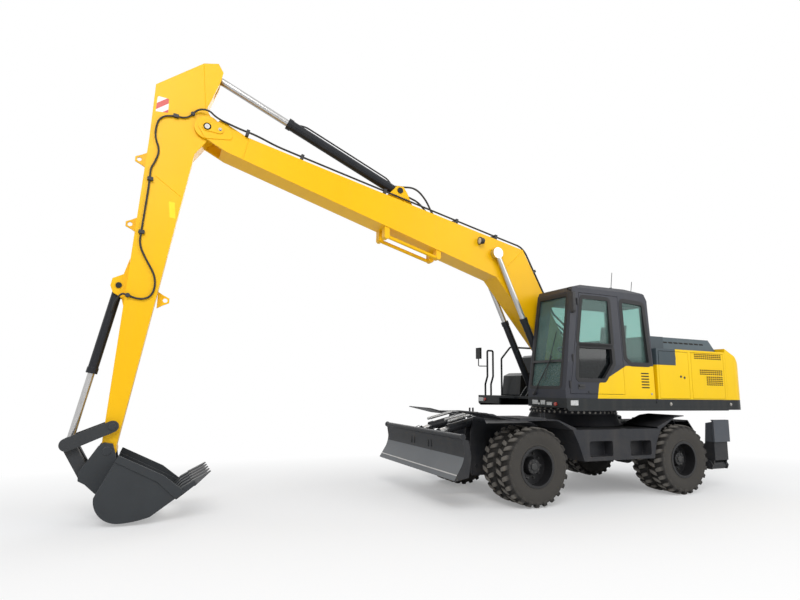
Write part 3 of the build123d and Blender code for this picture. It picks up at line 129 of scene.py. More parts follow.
# ---------------------------------------------------------------- finishes
class Value:
    """A node's socket on which Python arithmetic adds Math nodes."""

    def __init__(self, finish, socket):
        self.finish = finish
        self.socket = socket

    def math(self, operation, *others, clamp=False):
        inputs = dict(enumerate((self, *others)))
        return self.finish.node("ShaderNodeMath", {"operation": operation, "use_clamp": clamp}, inputs)

    def __add__(self, other):
        return self.math("ADD", other)

    def __sub__(self, other):
        return self.math("SUBTRACT", other)

    def __mul__(self, other):
        return self.math("MULTIPLY", other)

    def __truediv__(self, other):
        return self.math("DIVIDE", other)

    def __pow__(self, other):
        return self.math("POWER", other)

    def __radd__(self, other):
        return self.math("ADD", other)

    def __rsub__(self, other):
        return self.finish.node("ShaderNodeMath", {"operation": "SUBTRACT"}, {0: other, 1: self})

    def above(self, limit, soft=0.0):
        """1 where this is above a limit, going from 0 over the soft width."""
        if not soft:
            return self.math("GREATER_THAN", limit)
        return ((self - (limit - soft / 2)) / soft).math("ADD", 0, clamp=True)

    def below(self, limit, soft=0.0):
        return 1 - self.above(limit, soft)

    def most(self, other):
        return self.math("MAXIMUM", other)

    def clamped(self):
        return self.math("ADD", 0, clamp=True)


class Finish:
    """One procedural material, read in object coordinates."""

    def __init__(self, name, **constants):
        self.material = bpy.data.materials.new(name)
        self.material.use_nodes = True
        self.tree = self.material.node_tree
        self.shader = self.tree.nodes["Principled BSDF"]
        for socket, value in constants.items():
            self.shader.inputs[socket.replace("_", " ")].default_value = value
        self.place = self.node("ShaderNodeTexCoord", out="Object")

    def node(self, kind, settings=None, inputs=None, out=0):
        """Adds a node: its settings first, then the values or links of its sockets."""
        made = self.tree.nodes.new(kind)
        for setting, value in (settings or {}).items():
            setattr(made, setting, value)
        for socket, value in (inputs or {}).items():
            if isinstance(value, Value):
                self.tree.links.new(value.socket, made.inputs[socket])
            else:
                made.inputs[socket].default_value = value
        return Value(self, made.outputs[out])

    def feed(self, socket, value):
        self.tree.links.new(value.socket, self.shader.inputs[socket])

    def stretched(self, scale):
        """Object coordinates stretched along the axes."""
        return self.node("ShaderNodeMapping", None, {"Vector": self.place, "Scale": scale})

    def noise(self, scale, detail, roughness=0.55, where=None):
        inputs = {"Vector": where or self.place, "Scale": scale, "Detail": detail, "Roughness": roughness}
        return self.node("ShaderNodeTexNoise", None, inputs)

    def cells(self, scale, feature="F1"):
        inputs = {"Vector": self.place, "Scale": scale}
        return self.node("ShaderNodeTexVoronoi", {"feature": feature}, inputs)

    def axis(self, letter, vector=None):
        """One coordinate of the place, or of another vector."""
        return self.node("ShaderNodeSeparateXYZ", None, {0: vector or self.place}, out=letter)

    def facing(self, letter):
        """One component of the surface's direction in object coordinates."""
        return self.axis(letter, self.node("ShaderNodeTexCoord", out="Normal"))

    def blend(self, share, low, high):
        """Colour between two colours or links."""
        return self.node("ShaderNodeMix", {"data_type": "RGBA"}, {0: share, 6: low, 7: high}, out=2)

    def rounded(self, radius):
        """Surface direction with its edges rounded, to catch light as broken edges do."""
        return self.node("ShaderNodeBevel", {"samples": 4}, {"Radius": radius})

    def edges(self, soft_normal, gain):
        """1 along edges and 0 on flats."""
        flat = self.node("ShaderNodeNewGeometry", out="Normal")
        same = self.node(
            "ShaderNodeVectorMath", {"operation": "DOT_PRODUCT"}, {0: soft_normal, 1: flat}, "Value",
        )
        return ((1 - same) * gain).clamped()

    def two_layers(self, share, under, over):
        """Sends two shaders to the surface, the second by its share."""
        mixed = self.tree.nodes.new("ShaderNodeMixShader")
        for number, socket in enumerate((share.socket, under.outputs[0], over.outputs[0])):
            self.tree.links.new(socket, mixed.inputs[number])
        self.tree.links.new(mixed.outputs[0], self.tree.nodes["Material Output"].inputs["Surface"])

    def bump(self, height, distance, strength, normal=None):
        inputs = {"Strength": strength, "Distance": distance, "Height": height}
        if normal:
            inputs["Normal"] = normal
        self.feed("Normal", self.node("ShaderNodeBump", None, inputs))


def colour(red, green, blue):
    return (red, green, blue, 1.0)


DUST = colour(0.23, 0.19, 0.145)
PRIMER = colour(0.10, 0.085, 0.07)
BARE_STEEL = colour(0.42, 0.41, 0.40)


def enamel(name, top, deep, gloss, dust, wear, worn=None, zone=None):
    """Sprayed enamel on plate: slow drifts of shade, road dust on ledges and low down, chipped edges."""
    finish = Finish(name, Coat_Weight=0.02, Coat_Roughness=0.15, Specular_IOR_Level=0.22)
    soft = finish.rounded(0.004)
    cloud = finish.noise(0.9, 4)
    base = finish.blend(cloud, deep, top)
    if zone:
        base = zone(finish, base, cloud)
    runs = finish.noise(1.0, 4, where=finish.stretched((9, 9, 0.9)))
    grime = (runs.above(0.60, 0.25) * 0.3 * dust).clamped()
    height = finish.axis("Z")
    splash = height.below(0.9, 1.0) * 0.6 + finish.facing("Z").above(0.8, 0.3) * 0.25
    dusty = (splash * finish.noise(5.5, 6, 0.7).above(0.52, 0.4) * dust).clamped()
    chips = finish.edges(soft, 2.2) * finish.noise(38, 5, 0.7).above(0.60 - 0.2 * wear, 0.10) * wear
    base = finish.blend((grime + dusty).clamped(), base, DUST)
    base = finish.blend(chips.clamped(), base, worn or PRIMER)
    finish.feed("Base Color", base)
    rough = gloss + finish.noise(14, 3) * 0.10 + (grime + dusty) * 0.5
    finish.feed("Roughness", rough.clamped())
    skin = finish.noise(240, 2) * 0.10 + finish.noise(3.2, 2) * 0.8
    finish.bump(skin, 0.0010, 0.4, soft)
    return finish.material


def cast(name, dark, light, rough, metal, edge=0.006, wear=0.5):
    """Rough cast or burnt plate with rubbed bright edges."""
    finish = Finish(name, Metallic=metal)
    soft = finish.rounded(edge)
    cloud = finish.noise(4.5, 6, 0.65)
    base = finish.blend(cloud, dark, light)
    rubbed = finish.edges(soft, 2.6) * finish.noise(26, 5, 0.7).above(0.48, 0.2) * wear
    base = finish.blend(rubbed.clamped(), base, BARE_STEEL)
    finish.feed("Base Color", base)
    finish.feed("Roughness", (rough + cloud * 0.2 - rubbed * 0.3).clamped())
    finish.bump(finish.noise(90, 4) * 0.5 + cloud, 0.0016, 0.6, soft)
    return finish.material


def rubber(name, axle_x):
    """Road rubber of the wheels on one axle: dusty crowns, painted shade in the grooves, dry mud and fine scuffs.
    """
    finish = Finish(name)
    soft = finish.rounded(0.006)
    cloud = finish.noise(7, 6, 0.7)
    ahead = finish.axis("X") - axle_x
    above = finish.axis("Z") - TYRE_R
    radius = (ahead * ahead + above * above) ** 0.5
    crown = radius.above(TYRE_R - 0.012, 0.016)
    dusty = (crown * (0.35 + cloud * 0.9) + finish.edges(soft, 1.8) * 0.5).clamped()
    base = finish.blend(cloud, colour(0.022, 0.020, 0.018), colour(0.050, 0.045, 0.038))
    base = finish.blend(dusty, base, colour(0.185, 0.170, 0.150))
    # painted shade: a near-black band over the lug feet and tread floor stands in for the shade down in the
    # grooves
    groove_shade = radius.above(0.470, 0.01) * radius.below(0.500, 0.012)
    base = finish.blend((groove_shade * 0.8).clamped(), base, colour(0.010, 0.009, 0.008))
    finish.feed("Base Color", base)
    finish.feed("Roughness", 0.75 + cloud * 0.2)
    finish.bump(finish.noise(120, 5, 0.7) * 0.5 + cloud, 0.0022, 0.7, soft)
    return finish.material


def chrome():
    """Hard-chromed rod with an oil film."""
    finish = Finish("hard_chrome", Metallic=1.0)
    oil = finish.noise(4, 3)
    finish.feed("Base Color", finish.blend(oil, colour(0.44, 0.43, 0.42), colour(0.58, 0.58, 0.58)))
    finish.feed("Roughness", 0.24 + oil * 0.12)
    finish.bump(finish.noise(30, 2), 0.0001, 0.1)
    return finish.material


def zinc():
    """Plated bolts and clips."""
    finish = Finish("zinc_plate", Metallic=0.85)
    spots = finish.noise(60, 4)
    finish.feed("Base Color", finish.blend(spots, colour(0.20, 0.19, 0.18), colour(0.52, 0.50, 0.46)))
    finish.feed("Roughness", 0.34 + spots * 0.3)
    finish.bump(spots, 0.0006, 0.4)
    return finish.material


def worn_steel():
    """Ground-engaging edge, polished by soil."""
    finish = Finish("polished_edge", Metallic=0.9)
    scratches = finish.noise(1.0, 5, 0.7, where=finish.stretched((40, 6, 60)))
    finish.feed("Base Color", finish.blend(scratches, colour(0.30, 0.29, 0.28), colour(0.68, 0.67, 0.65)))
    finish.feed("Roughness", 0.24 + scratches * 0.35)
    finish.bump(scratches, 0.0008, 0.6)
    return finish.material


def pane_glass(name, tint, clear, painted_shade_below=0.0):
    """Window glass: see-through, mirror-like at a slant, with a film of dust; below a given height painted near
    black and mostly opaque, as painted shade for the cab's inside.
    """
    finish = Finish(name, IOR=1.5)
    film = finish.noise(1.3, 3, 0.5)
    # painted shade: below this height the pane turns near black and mostly opaque, standing in for the shaded
    # inside of the cab behind it
    painted_inside_shade = finish.axis("Z").below(painted_shade_below, 0.01)
    base = finish.blend(film, tint, colour(0.36, 0.47, 0.44))
    finish.feed("Base Color", finish.blend(painted_inside_shade, base, colour(0.006, 0.008, 0.009)))
    finish.feed("Roughness", 0.03 + film * 0.04)
    see_through = finish.tree.nodes.new("ShaderNodeBsdfTransparent")
    see_through.inputs["Color"].default_value = (0.76, 0.91, 0.88, 1)
    slant = finish.node("ShaderNodeLayerWeight", None, {"Blend": 0.30}, out="Facing")
    share = (1 - clear) + slant * 0.30 + film * 0.05 + painted_inside_shade * 0.62
    finish.two_layers(share.clamped(), see_through, finish.shader)
    return finish.material


def lens(name, pale, deep):
    """Moulded lamp lens with pressed prisms."""
    finish = Finish(name, Roughness=0.12, Coat_Weight=0.6, Coat_Roughness=0.05)
    prisms = finish.cells(90, "DISTANCE_TO_EDGE")
    finish.feed("Base Color", finish.blend(prisms.math("MULTIPLY", 2.5, clamp=True), deep, pale))
    finish.bump(prisms, 0.002, 0.6)
    return finish.material


def striped(name):
    """White plate with red slanted bars."""
    finish = Finish(name, Roughness=0.35)
    across = finish.axis("X") * 0.62 + finish.axis("Z") * 0.78
    bars = (across * 7.6).math("FRACT").above(0.5)
    fade = finish.noise(6, 4)
    red = finish.blend(fade, colour(0.50, 0.030, 0.020), colour(0.62, 0.055, 0.035))
    white = finish.blend(fade, colour(0.70, 0.69, 0.66), colour(0.82, 0.81, 0.79))
    finish.feed("Base Color", finish.blend(bars, white, red))
    finish.bump(fade, 0.0004, 0.3)
    return finish.material


def moulded(name, dark, light, grain=320, rough=0.5):
    """Grained black plastic or trim."""
    finish = Finish(name)
    tone = finish.noise(3, 4)
    finish.feed("Base Color", finish.blend(tone, dark, light))
    finish.feed("Roughness", rough + tone * 0.15)
    finish.bump(finish.cells(grain), 0.0005, 0.5, finish.rounded(0.003))
    return finish.material


def cloth(name, dark, light):
    """Woven seat cloth."""
    finish = Finish(name, Sheen_Weight=0.25, Sheen_Roughness=0.5)
    warp = finish.node(
        "ShaderNodeTexWave", {"bands_direction": "X"}, {"Vector": finish.place, "Scale": 150.0},
    )
    weft = finish.node(
        "ShaderNodeTexWave", {"bands_direction": "Y"}, {"Vector": finish.place, "Scale": 150.0},
    )
    weave = warp.most(weft)
    tone = (weave * 0.6 + finish.noise(9, 4) * 0.4).clamped()
    finish.feed("Base Color", finish.blend(tone, dark, light))
    finish.feed("Roughness", 0.8 + tone * 0.15)
    finish.bump(weave, 0.0008, 0.6)
    return finish.material


CAB_SWEEP = ((0.58, 1.40), (0.53, 1.66), (-0.02, 1.934), (-0.64, 1.945))
CAB_SIDE_Y = 1.08
GREY_BLOCK_FRONT, GREY_BLOCK_FOOT = -1.062, 1.974
PAD_FOOT = 0.768
DOOR_BAR_Z = 2.215
YELLOW_TOP = colour(0.90, 0.585, 0.002)
YELLOW_DEEP = colour(0.82, 0.50, 0.001)
SKIRT_TOP = colour(0.017, 0.020, 0.022)
SKIRT_DEEP = colour(0.011, 0.013, 0.014)


def yellow_sweep(finish, base, cloud):
    """Body yellow that sweeps over the foot of the cab's outer side."""
    x = finish.axis("X")
    z = finish.axis("Z")
    inside = finish.axis("Y").above(CAB_SIDE_Y)
    for (x0, z0), (x1, z1) in zip(CAB_SWEEP, CAB_SWEEP[1:]):
        run = x * (z1 - z0) - z * (x1 - x0)
        inside = inside * run.below((SLEW_X + x0) * (z1 - z0) - z0 * (x1 - x0))
    return finish.blend(inside, base, finish.blend(cloud, YELLOW_DEEP, YELLOW_TOP))


def grey_front(finish, base, cloud):
    """Dark skirt round the tail, and the grey block and corner panel behind the cab."""
    x = finish.axis("X")
    z = finish.axis("Z")
    block = x.above(SLEW_X + GREY_BLOCK_FRONT) * z.above(GREY_BLOCK_FOOT)
    base = finish.blend(
        block, base, finish.blend(cloud, colour(0.040, 0.055, 0.064), colour(0.062, 0.082, 0.094)),
    )
    return finish.blend(z.below(DECK_TOP), base, finish.blend(cloud, SKIRT_DEEP, SKIRT_TOP))


def dark_below_pad(finish, base, cloud):
    """Outrigger arm, darker below its foot pad."""
    low = finish.axis("Z").below(PAD_FOOT)
    return finish.blend(
        low, base, finish.blend(cloud, colour(0.014, 0.016, 0.020), colour(0.024, 0.027, 0.032)),
    )


BLADE_BAND_TOP = 0.695


def bright_band(finish, base, cloud):
    """Lower part of the blade's face, rubbed grey by soil."""
    band = finish.axis("Z").below(BLADE_BAND_TOP, 0.004) * finish.facing("X").above(0.3)
    return finish.blend(
        band, base, finish.blend(cloud, colour(0.105, 0.115, 0.125), colour(0.16, 0.17, 0.18)),
    )


BOOM_ENAMEL = enamel("boom_enamel", colour(0.93, 0.53, 0.002), colour(0.85, 0.45, 0.001), 0.32, 0.06, 0.2)
BODY_ENAMEL = enamel("body_enamel", YELLOW_TOP, YELLOW_DEEP, 0.28, 0.08, 0.12, zone=grey_front)
CAB_ENAMEL = enamel(
    "cab_enamel", colour(0.034, 0.037, 0.048), colour(0.024, 0.026, 0.035), 0.30, 0.10, 0.15,
    zone=yellow_sweep,
)
HOOD_ENAMEL = enamel(
    "hood_enamel", colour(0.090, 0.120, 0.135), colour(0.066, 0.090, 0.104), 0.36, 0.12, 0.2,
)
SKIRT_ENAMEL = enamel("skirt_enamel", SKIRT_TOP, SKIRT_DEEP, 0.36, 0.15, 0.3)
FRAME_ENAMEL = enamel(
    "frame_enamel", colour(0.026, 0.028, 0.034), colour(0.016, 0.018, 0.022), 0.42, 0.20, 0.5, BARE_STEEL,
)
BLADE_ENAMEL = enamel(
    "blade_enamel", colour(0.022, 0.024, 0.028), colour(0.014, 0.016, 0.019), 0.42, 0.12, 0.5, BARE_STEEL,
    zone=bright_band,
)
PAD_ENAMEL = enamel(
    "pad_enamel", colour(0.075, 0.085, 0.100), colour(0.055, 0.062, 0.075), 0.40, 0.2, 0.5,
    zone=dark_below_pad,
)
CYLINDER_ENAMEL = enamel(
    "cylinder_enamel", colour(0.018, 0.020, 0.024), colour(0.011, 0.012, 0.015), 0.28, 0.12, 0.4, BARE_STEEL,
)
BUCKET_STEEL = cast("bucket_steel", colour(0.012, 0.014, 0.017), colour(0.026, 0.031, 0.035), 0.46, 0.1)
LINK_STEEL = cast(
    "link_steel", colour(0.013, 0.014, 0.016), colour(0.028, 0.031, 0.034), 0.48, 0.1, wear=0.3,
)
NUT_STEEL = cast(
    "nut_steel", colour(0.020, 0.020, 0.021), colour(0.060, 0.060, 0.058), 0.36, 0.4, 0.003, 0.6,
)
TOOTH_STEEL = cast(
    "tooth_steel", colour(0.040, 0.042, 0.045), colour(0.14, 0.14, 0.14), 0.40, 0.5, 0.006, 0.9,
)
RIM_STEEL = cast(
    "rim_steel", colour(0.006, 0.006, 0.007), colour(0.014, 0.014, 0.015), 0.40, 0.1, 0.004, 0.3,
)
TREAD_RUBBER = {
    end: rubber("tread_rubber_" + end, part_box(f"rims_{end}_left")[0].x + RIM_R) for end in ("front", "rear")
}
CHROME = chrome()
ZINC = zinc()
POLISHED = worn_steel()
CAB_GLASS = pane_glass("cab_glass", colour(0.20, 0.31, 0.29), 0.90)
# the door's lower window is painted shade below the bar
DOOR_GLASS = pane_glass("door_glass", colour(0.20, 0.31, 0.29), 0.90, painted_shade_below=DOOR_BAR_Z)
CLEAR_LENS = lens("clear_lens", colour(0.80, 0.80, 0.78), colour(0.35, 0.36, 0.36))
RED_LENS = lens("red_lens", colour(0.62, 0.10, 0.06), colour(0.25, 0.02, 0.02))
BLACK_PLASTIC = moulded("black_plastic", colour(0.012, 0.012, 0.013), colour(0.026, 0.026, 0.028))
SEAL_RUBBER = moulded("seal_rubber", colour(0.006, 0.006, 0.007), colour(0.014, 0.014, 0.015), 260, 0.6)
STRIPES = striped("safety_stripes")
WOUND_GUARD = cast("wound_guard", colour(0.16, 0.16, 0.16), colour(0.52, 0.52, 0.51), 0.26, 0.85, 0.002)
COWL_ENAMEL = enamel(
    "cowl_enamel", colour(0.055, 0.075, 0.086), colour(0.038, 0.054, 0.062), 0.36, 0.12, 0.2,
)
LABEL_YELLOW = enamel("label_yellow", colour(0.88, 0.74, 0.02), colour(0.80, 0.66, 0.02), 0.40, 0.1, 0.1)
# painted shade: near-black plates set in the slots, louvres and vents, standing in for the shade inside the
# openings
SLOT_SHADE = moulded("slot_black", colour(0.004, 0.004, 0.004), colour(0.010, 0.009, 0.008), 200, 0.8)
HOSE_RUBBER = moulded("hose_rubber", colour(0.010, 0.010, 0.011), colour(0.022, 0.021, 0.020), 500, 0.55)
SEAT_CLOTH = cloth("seat_cloth", colour(0.018, 0.019, 0.022), colour(0.055, 0.058, 0.066))
ENGINE_STEEL = cast("engine_steel", colour(0.05, 0.05, 0.05), colour(0.09, 0.09, 0.09), 0.6, 0.3)

FINISH_OF = {
    "boom": BOOM_ENAMEL, "arm": BOOM_ENAMEL, "counterweight": BODY_ENAMEL, "body_shell": BODY_ENAMEL,
    "side_door": BODY_ENAMEL, "hood": HOOD_ENAMEL, "upper_frame": SKIRT_ENAMEL, "tank_box": SKIRT_ENAMEL,
    "cab_shell": CAB_ENAMEL, "cab_door": CAB_ENAMEL, "cab_glass": CAB_GLASS, "door_glass": DOOR_GLASS,
    "cab_mirror": BLACK_PLASTIC, "rails_right": SKIRT_ENAMEL, "console": BLACK_PLASTIC, "seat": SEAT_CLOTH,
    "front_lamps": CLEAR_LENS, "engine_block": ENGINE_STEEL, "slew_ring": FRAME_ENAMEL,
    "chassis_frame": FRAME_ENAMEL, "side_boxes": FRAME_ENAMEL, "front_axle": FRAME_ENAMEL,
    "rear_axle": FRAME_ENAMEL, "knuckle": FRAME_ENAMEL, "steering_rod": CHROME, "rims": RIM_STEEL,
    "tyres_front": TREAD_RUBBER["front"], "tyres_rear": TREAD_RUBBER["rear"], "dozer_blade": BLADE_ENAMEL,
    "blade_barrels": CYLINDER_ENAMEL, "blade_rods": CHROME,
    "outrigger_barrel": CYLINDER_ENAMEL, "outrigger_rod": CHROME, "outrigger": PAD_ENAMEL,
    "boom_barrels": CYLINDER_ENAMEL, "boom_rods": CHROME, "arm_barrel": CYLINDER_ENAMEL, "arm_rod": CHROME,
    "bucket_barrel": CYLINDER_ENAMEL, "bucket_rod": CHROME, "rocker": LINK_STEEL, "bucket_link": LINK_STEEL,
    "bucket": BUCKET_STEEL, "arm_brackets": BOOM_ENAMEL,
}


def finish_for(node):
    """Finish of a CAD node, by the longest name that it starts with."""
    known = [start for start in FINISH_OF if node.startswith(start)]
    return FINISH_OF[max(known, key=len)]


for node, thing in frame["nodes"].items():
    for place in range(len(thing.material_slots)):
        thing.material_slots[place].link = "OBJECT"
        thing.material_slots[place].material = finish_for(node)


# ---------------------------------------------------------------- mesh making
class Shape:
    """A mesh under construction, in the row's frame."""

    def __init__(self):
        self.mesh = bmesh.new()

    def faces(self, points, loops):
        """Faces from points and lists of their numbers."""
        made = [self.mesh.verts.new(point) for point in points]
        for loop in loops:
            self.mesh.faces.new([made[number] for number in loop])
        return self

    def prism(self, points, along):
        """Solid from a closed outline of points, pushed along a vector."""
        count = len(points)
        shifted = [point + along for point in points]
        walls = [(i, (i + 1) % count, count + (i + 1) % count, count + i) for i in range(count)]
        loops = [tuple(reversed(range(count))), tuple(range(count, 2 * count))] + walls
        return self.faces(list(points) + shifted, loops)

    def lathe(self, profile, centre, axis, across, sides, closed=False):
        """Surface of (distance along the axis, radius) pairs turned about an axis."""
        other = axis.cross(across)
        rings = []
        for along, radius in profile:
            ring = []
            for number in range(sides):
                turn = 2 * math.pi * number / sides
                spoke = across * math.cos(turn) + other * math.sin(turn)
                ring.append(self.mesh.verts.new(centre + axis * along + spoke * radius))
            rings.append(ring)
        pairs = list(zip(rings, rings[1:] + rings[:1])) if closed else list(zip(rings, rings[1:]))
        for low, high in pairs:
            for i in range(sides):
                j = (i + 1) % sides
                self.mesh.faces.new((low[i], low[j], high[j], high[i]))
        if not closed:
            self.mesh.faces.new(list(reversed(rings[0])))
            self.mesh.faces.new(rings[-1])
        return self

    def box(self, low, high):
        """Block between two corners."""
        foot = ((low.x, low.y), (high.x, low.y), (high.x, high.y), (low.x, high.y))
        return self.prism([Vector((x, y, low.z)) for x, y in foot], Vector((0, 0, high.z - low.z)))

    def bolt(self, centre, axis, across_flats, height):
        """Hexagon head on a washer, standing on a surface."""
        axis = axis.normalized()
        across = axis.orthogonal().normalized()
        radius = across_flats / math.sqrt(3)
        washer = [(0, radius * 1.35), (height * 0.2, radius * 1.35)]
        self.lathe(washer, centre, axis, across, 12)
        head = [(height * 0.2, radius), (height * 0.9, radius), (height, radius * 0.82)]
        self.lathe(head, centre, axis, across, 6)
        return self

    def plain(self, name, weld=0.0):
        """The shape as a plain mesh: points nearer than the weld merged, faces outwards."""
        if weld:
            bmesh.ops.remove_doubles(self.mesh, verts=self.mesh.verts, dist=weld)
        bmesh.ops.recalc_face_normals(self.mesh, faces=self.mesh.faces)
        data = bpy.data.meshes.new(name)
        self.mesh.to_mesh(data)
        self.mesh.free()
        return data

    def done(self, name, body, finish, smooth, bevel=0.0):
        """The finished piece, riding on its body."""
        return settle(self.plain(name, 1e-6), name, body, finish, smooth, bevel)


def settle(data, name, body, finish, smooth, bevel=0.0, replaces=()):
    """Turns a mesh into a piece that rides on a CAD body."""
    data.name = name
    data.materials.clear()
    data.materials.append(finish)
    piece = bpy.data.objects.new(name, data)
    bpy.context.scene.collection.objects.link(piece)
    data.shade_smooth()
    data.set_sharp_from_angle(angle=math.radians(smooth))
    if bevel:
        edge = piece.modifiers.new("edge", "BEVEL")
        edge.width = bevel
        edge.segments = 2
        edge.limit_method = "ANGLE"
        edge.angle_limit = math.radians(40)
        edge.harden_normals = True
    if replaces:
        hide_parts(*replaces)
    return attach(piece, body)


# ---------------------------------------------------------------- repeats made by geometry nodes
class Repeat:
    """A node tree that sets copies of a piece out and gives one plain mesh."""

    def __init__(self, name, inputs):
        self.tree = bpy.data.node_groups.new(name, "GeometryNodeTree")
        self.tree.interface.new_socket("Geometry", in_out="OUTPUT", socket_type="NodeSocketGeometry")
        self.names = {}
        for label, kind in inputs:
            socket = self.tree.interface.new_socket(label, in_out="INPUT", socket_type=kind)
            self.names[label] = socket.identifier
        self.inputs = self.tree.nodes.new("NodeGroupInput")

    def add(self, kind, settings=None, links=None):
        """Adds a node: its settings first, then its sockets."""
        node = self.tree.nodes.new(kind)
        for setting, value in (settings or {}).items():
            setattr(node, setting, value)
        for socket, value in (links or {}).items():
            if isinstance(value, bpy.types.NodeSocket):
                self.tree.links.new(value, node.inputs[socket])
            else:
                node.inputs[socket].default_value = value
        return node

    def given(self, label):
        return self.inputs.outputs[label]

    def end(self, instances):
        """Real faces, with the finish set."""
        real = self.add("GeometryNodeRealizeInstances", None, {0: instances})
        painted = self.add(
            "GeometryNodeSetMaterial", None, {0: real.outputs[0], "Material": self.given("Finish")},
        )
        self.add("NodeGroupOutput", None, {0: painted.outputs[0]})

    def mesh(self, **values):
        """Runs the tree with these inputs and gives its mesh."""
        holder = bpy.data.objects.new("holder", bpy.data.meshes.new("holder"))
        bpy.context.scene.collection.objects.link(holder)
        modifier = holder.modifiers.new("repeat", "NODES")
        modifier.node_group = self.tree
        for label, value in values.items():
            modifier[self.names[label]] = value
        bpy.context.view_layer.update()
        evaluated = holder.evaluated_get(bpy.context.evaluated_depsgraph_get())
        mesh = bpy.data.meshes.new_from_object(evaluated)
        holder.modifiers.remove(modifier)
        bpy.data.objects.remove(holder)
        return mesh


def ring_tree():
    """Copies round the Z axis, each turned to face outwards."""
    tree = Repeat("ring_of_pieces", (
        ("Piece", "NodeSocketObject"), ("Count", "NodeSocketInt"), ("Radius", "NodeSocketFloat"),
        ("Start", "NodeSocketFloat"), ("Finish", "NodeSocketMaterial"),
    ))
    circle = tree.add("GeometryNodeMeshCircle", None, {
        "Vertices": tree.given("Count"), "Radius": tree.given("Radius"),
    })
    number = tree.add("GeometryNodeInputIndex")
    share = tree.add(
        "ShaderNodeMath", {"operation": "DIVIDE"}, {0: number.outputs[0], 1: tree.given("Count")},
    )
    turn = tree.add("ShaderNodeMath", {"operation": "MULTIPLY"}, {0: share.outputs[0], 1: 2 * math.pi})
    facing = tree.add("ShaderNodeCombineXYZ", None, {2: turn.outputs[0]})
    piece = tree.add("GeometryNodeObjectInfo", None, {"Object": tree.given("Piece")})
    copies = tree.add("GeometryNodeInstanceOnPoints", None, {
        "Points": circle.outputs[0], "Instance": piece.outputs["Geometry"], "Rotation": facing.outputs[0],
    })
    start = tree.add("ShaderNodeCombineXYZ", None, {2: tree.given("Start")})
    turned = tree.add("GeometryNodeTransform", None, {0: copies.outputs[0], "Rotation": start.outputs[0]})
    tree.end(turned.outputs[0])
    return tree


def row_tree():
    """Copies in rows: a count and a step along the row, and a count and a step from row to row."""
    tree = Repeat("rows_of_pieces", (
        ("Piece", "NodeSocketObject"), ("Count", "NodeSocketInt"), ("Step", "NodeSocketVector"),
        ("Rows", "NodeSocketInt"), ("Row step", "NodeSocketVector"), ("Finish", "NodeSocketMaterial"),
    ))
    row = tree.add(
        "GeometryNodeMeshLine", None, {"Count": tree.given("Count"), "Offset": tree.given("Step")},
    )
    piece = tree.add("GeometryNodeObjectInfo", None, {"Object": tree.given("Piece")})
    copies = tree.add("GeometryNodeInstanceOnPoints", None, {
        "Points": row.outputs[0], "Instance": piece.outputs["Geometry"],
    })
    rows = tree.add(
        "GeometryNodeMeshLine", None, {"Count": tree.given("Rows"), "Offset": tree.given("Row step")},
    )
    both = tree.add(
        "GeometryNodeInstanceOnPoints", None, {"Points": rows.outputs[0], "Instance": copies.outputs[0]},
    )
    tree.end(both.outputs[0])
    return tree


RING = ring_tree()
ROWS = row_tree()


def template(shape):
    """A hidden object that holds one copy of a repeated shape."""
    return bpy.data.objects.new("template", shape.plain("template"))


def in_ring(piece, finish, count, start=0.0):
    """Mesh of a template's copies round the Z axis."""
    return RING.mesh(Piece=piece, Count=count, Radius=0.0, Start=start, Finish=finish)


def in_rows(piece, finish, count, step, rows=1, row_step=(0, 0, 0)):
    """Mesh of a template's copies in rows."""
    return ROWS.mesh(Piece=piece, Count=count, Step=step, Rows=rows, Finish=finish, **{"Row step": row_step})


def joined(meshes):
    """One mesh from several."""
    whole = bmesh.new()
    for mesh in meshes:
        whole.from_mesh(mesh)
        bpy.data.meshes.remove(mesh)
    data = bpy.data.meshes.new("joined")
    whole.to_mesh(data)
    whole.free()
    return data


# ---------------------------------------------------------------- wheels
TREAD_R = 0.492
TYRE_HALF = 0.135
BEAD_R = 0.264
LUGS_ROUND = 24
TURN_TO_AXLE = Matrix.Rotation(math.pi / 2, 4, "X")
CARCASS = (
    (0.100, BEAD_R), (0.112, 0.272), (0.118, 0.290), (0.121, 0.300), (0.119, 0.303), (0.129, 0.345),
    (0.1335, 0.385), (0.1345, 0.410), (0.132, 0.440), (0.124, 0.470), (0.105, 0.488), (0.060, 0.4925),
    (0.0, TREAD_R),
)


def lug_shape(side):
    """One block of the tread: x outwards, y round the tyre, z along the axle."""
    foot, crown, half = TREAD_R - 0.008, CROWN_R, 0.030
    shape = Shape()
    sections = (
        # along the axle, shift round the tyre, half width, height
        (0.006, -0.020, 0.024, crown - 0.001), (0.050, -0.004, half, crown),
        (0.100, 0.012, half, crown - 0.004),
        (0.126, 0.020, 0.027, crown - 0.016), (0.134, 0.023, 0.024, 0.470),
    )
    points = []
    for along, shift, width, top in sections:
        low = foot if along < 0.12 else foot - (along - 0.12) * 3.4
        for depth, spread in ((low, 1.22), (top - 0.006, 1.0), (top, 0.80)):
            points.append(Vector((depth, shift - width * spread, side * along)))
            points.append(Vector((depth, shift + width * spread, side * along)))
    loops = []
    for i in range(len(sections) - 1):
        a, b = 6 * i, 6 * (i + 1)
        for p, q in ((0, 2), (2, 4), (4, 5), (5, 3), (3, 1), (1, 0)):
            loops.append((a + p, a + q, b + q, b + p))
    last = 6 * (len(sections) - 1)
    loops += [(0, 1, 3, 5, 4, 2), (last, last + 2, last + 4, last + 5, last + 3, last + 1)]
    return shape.faces(points, loops)


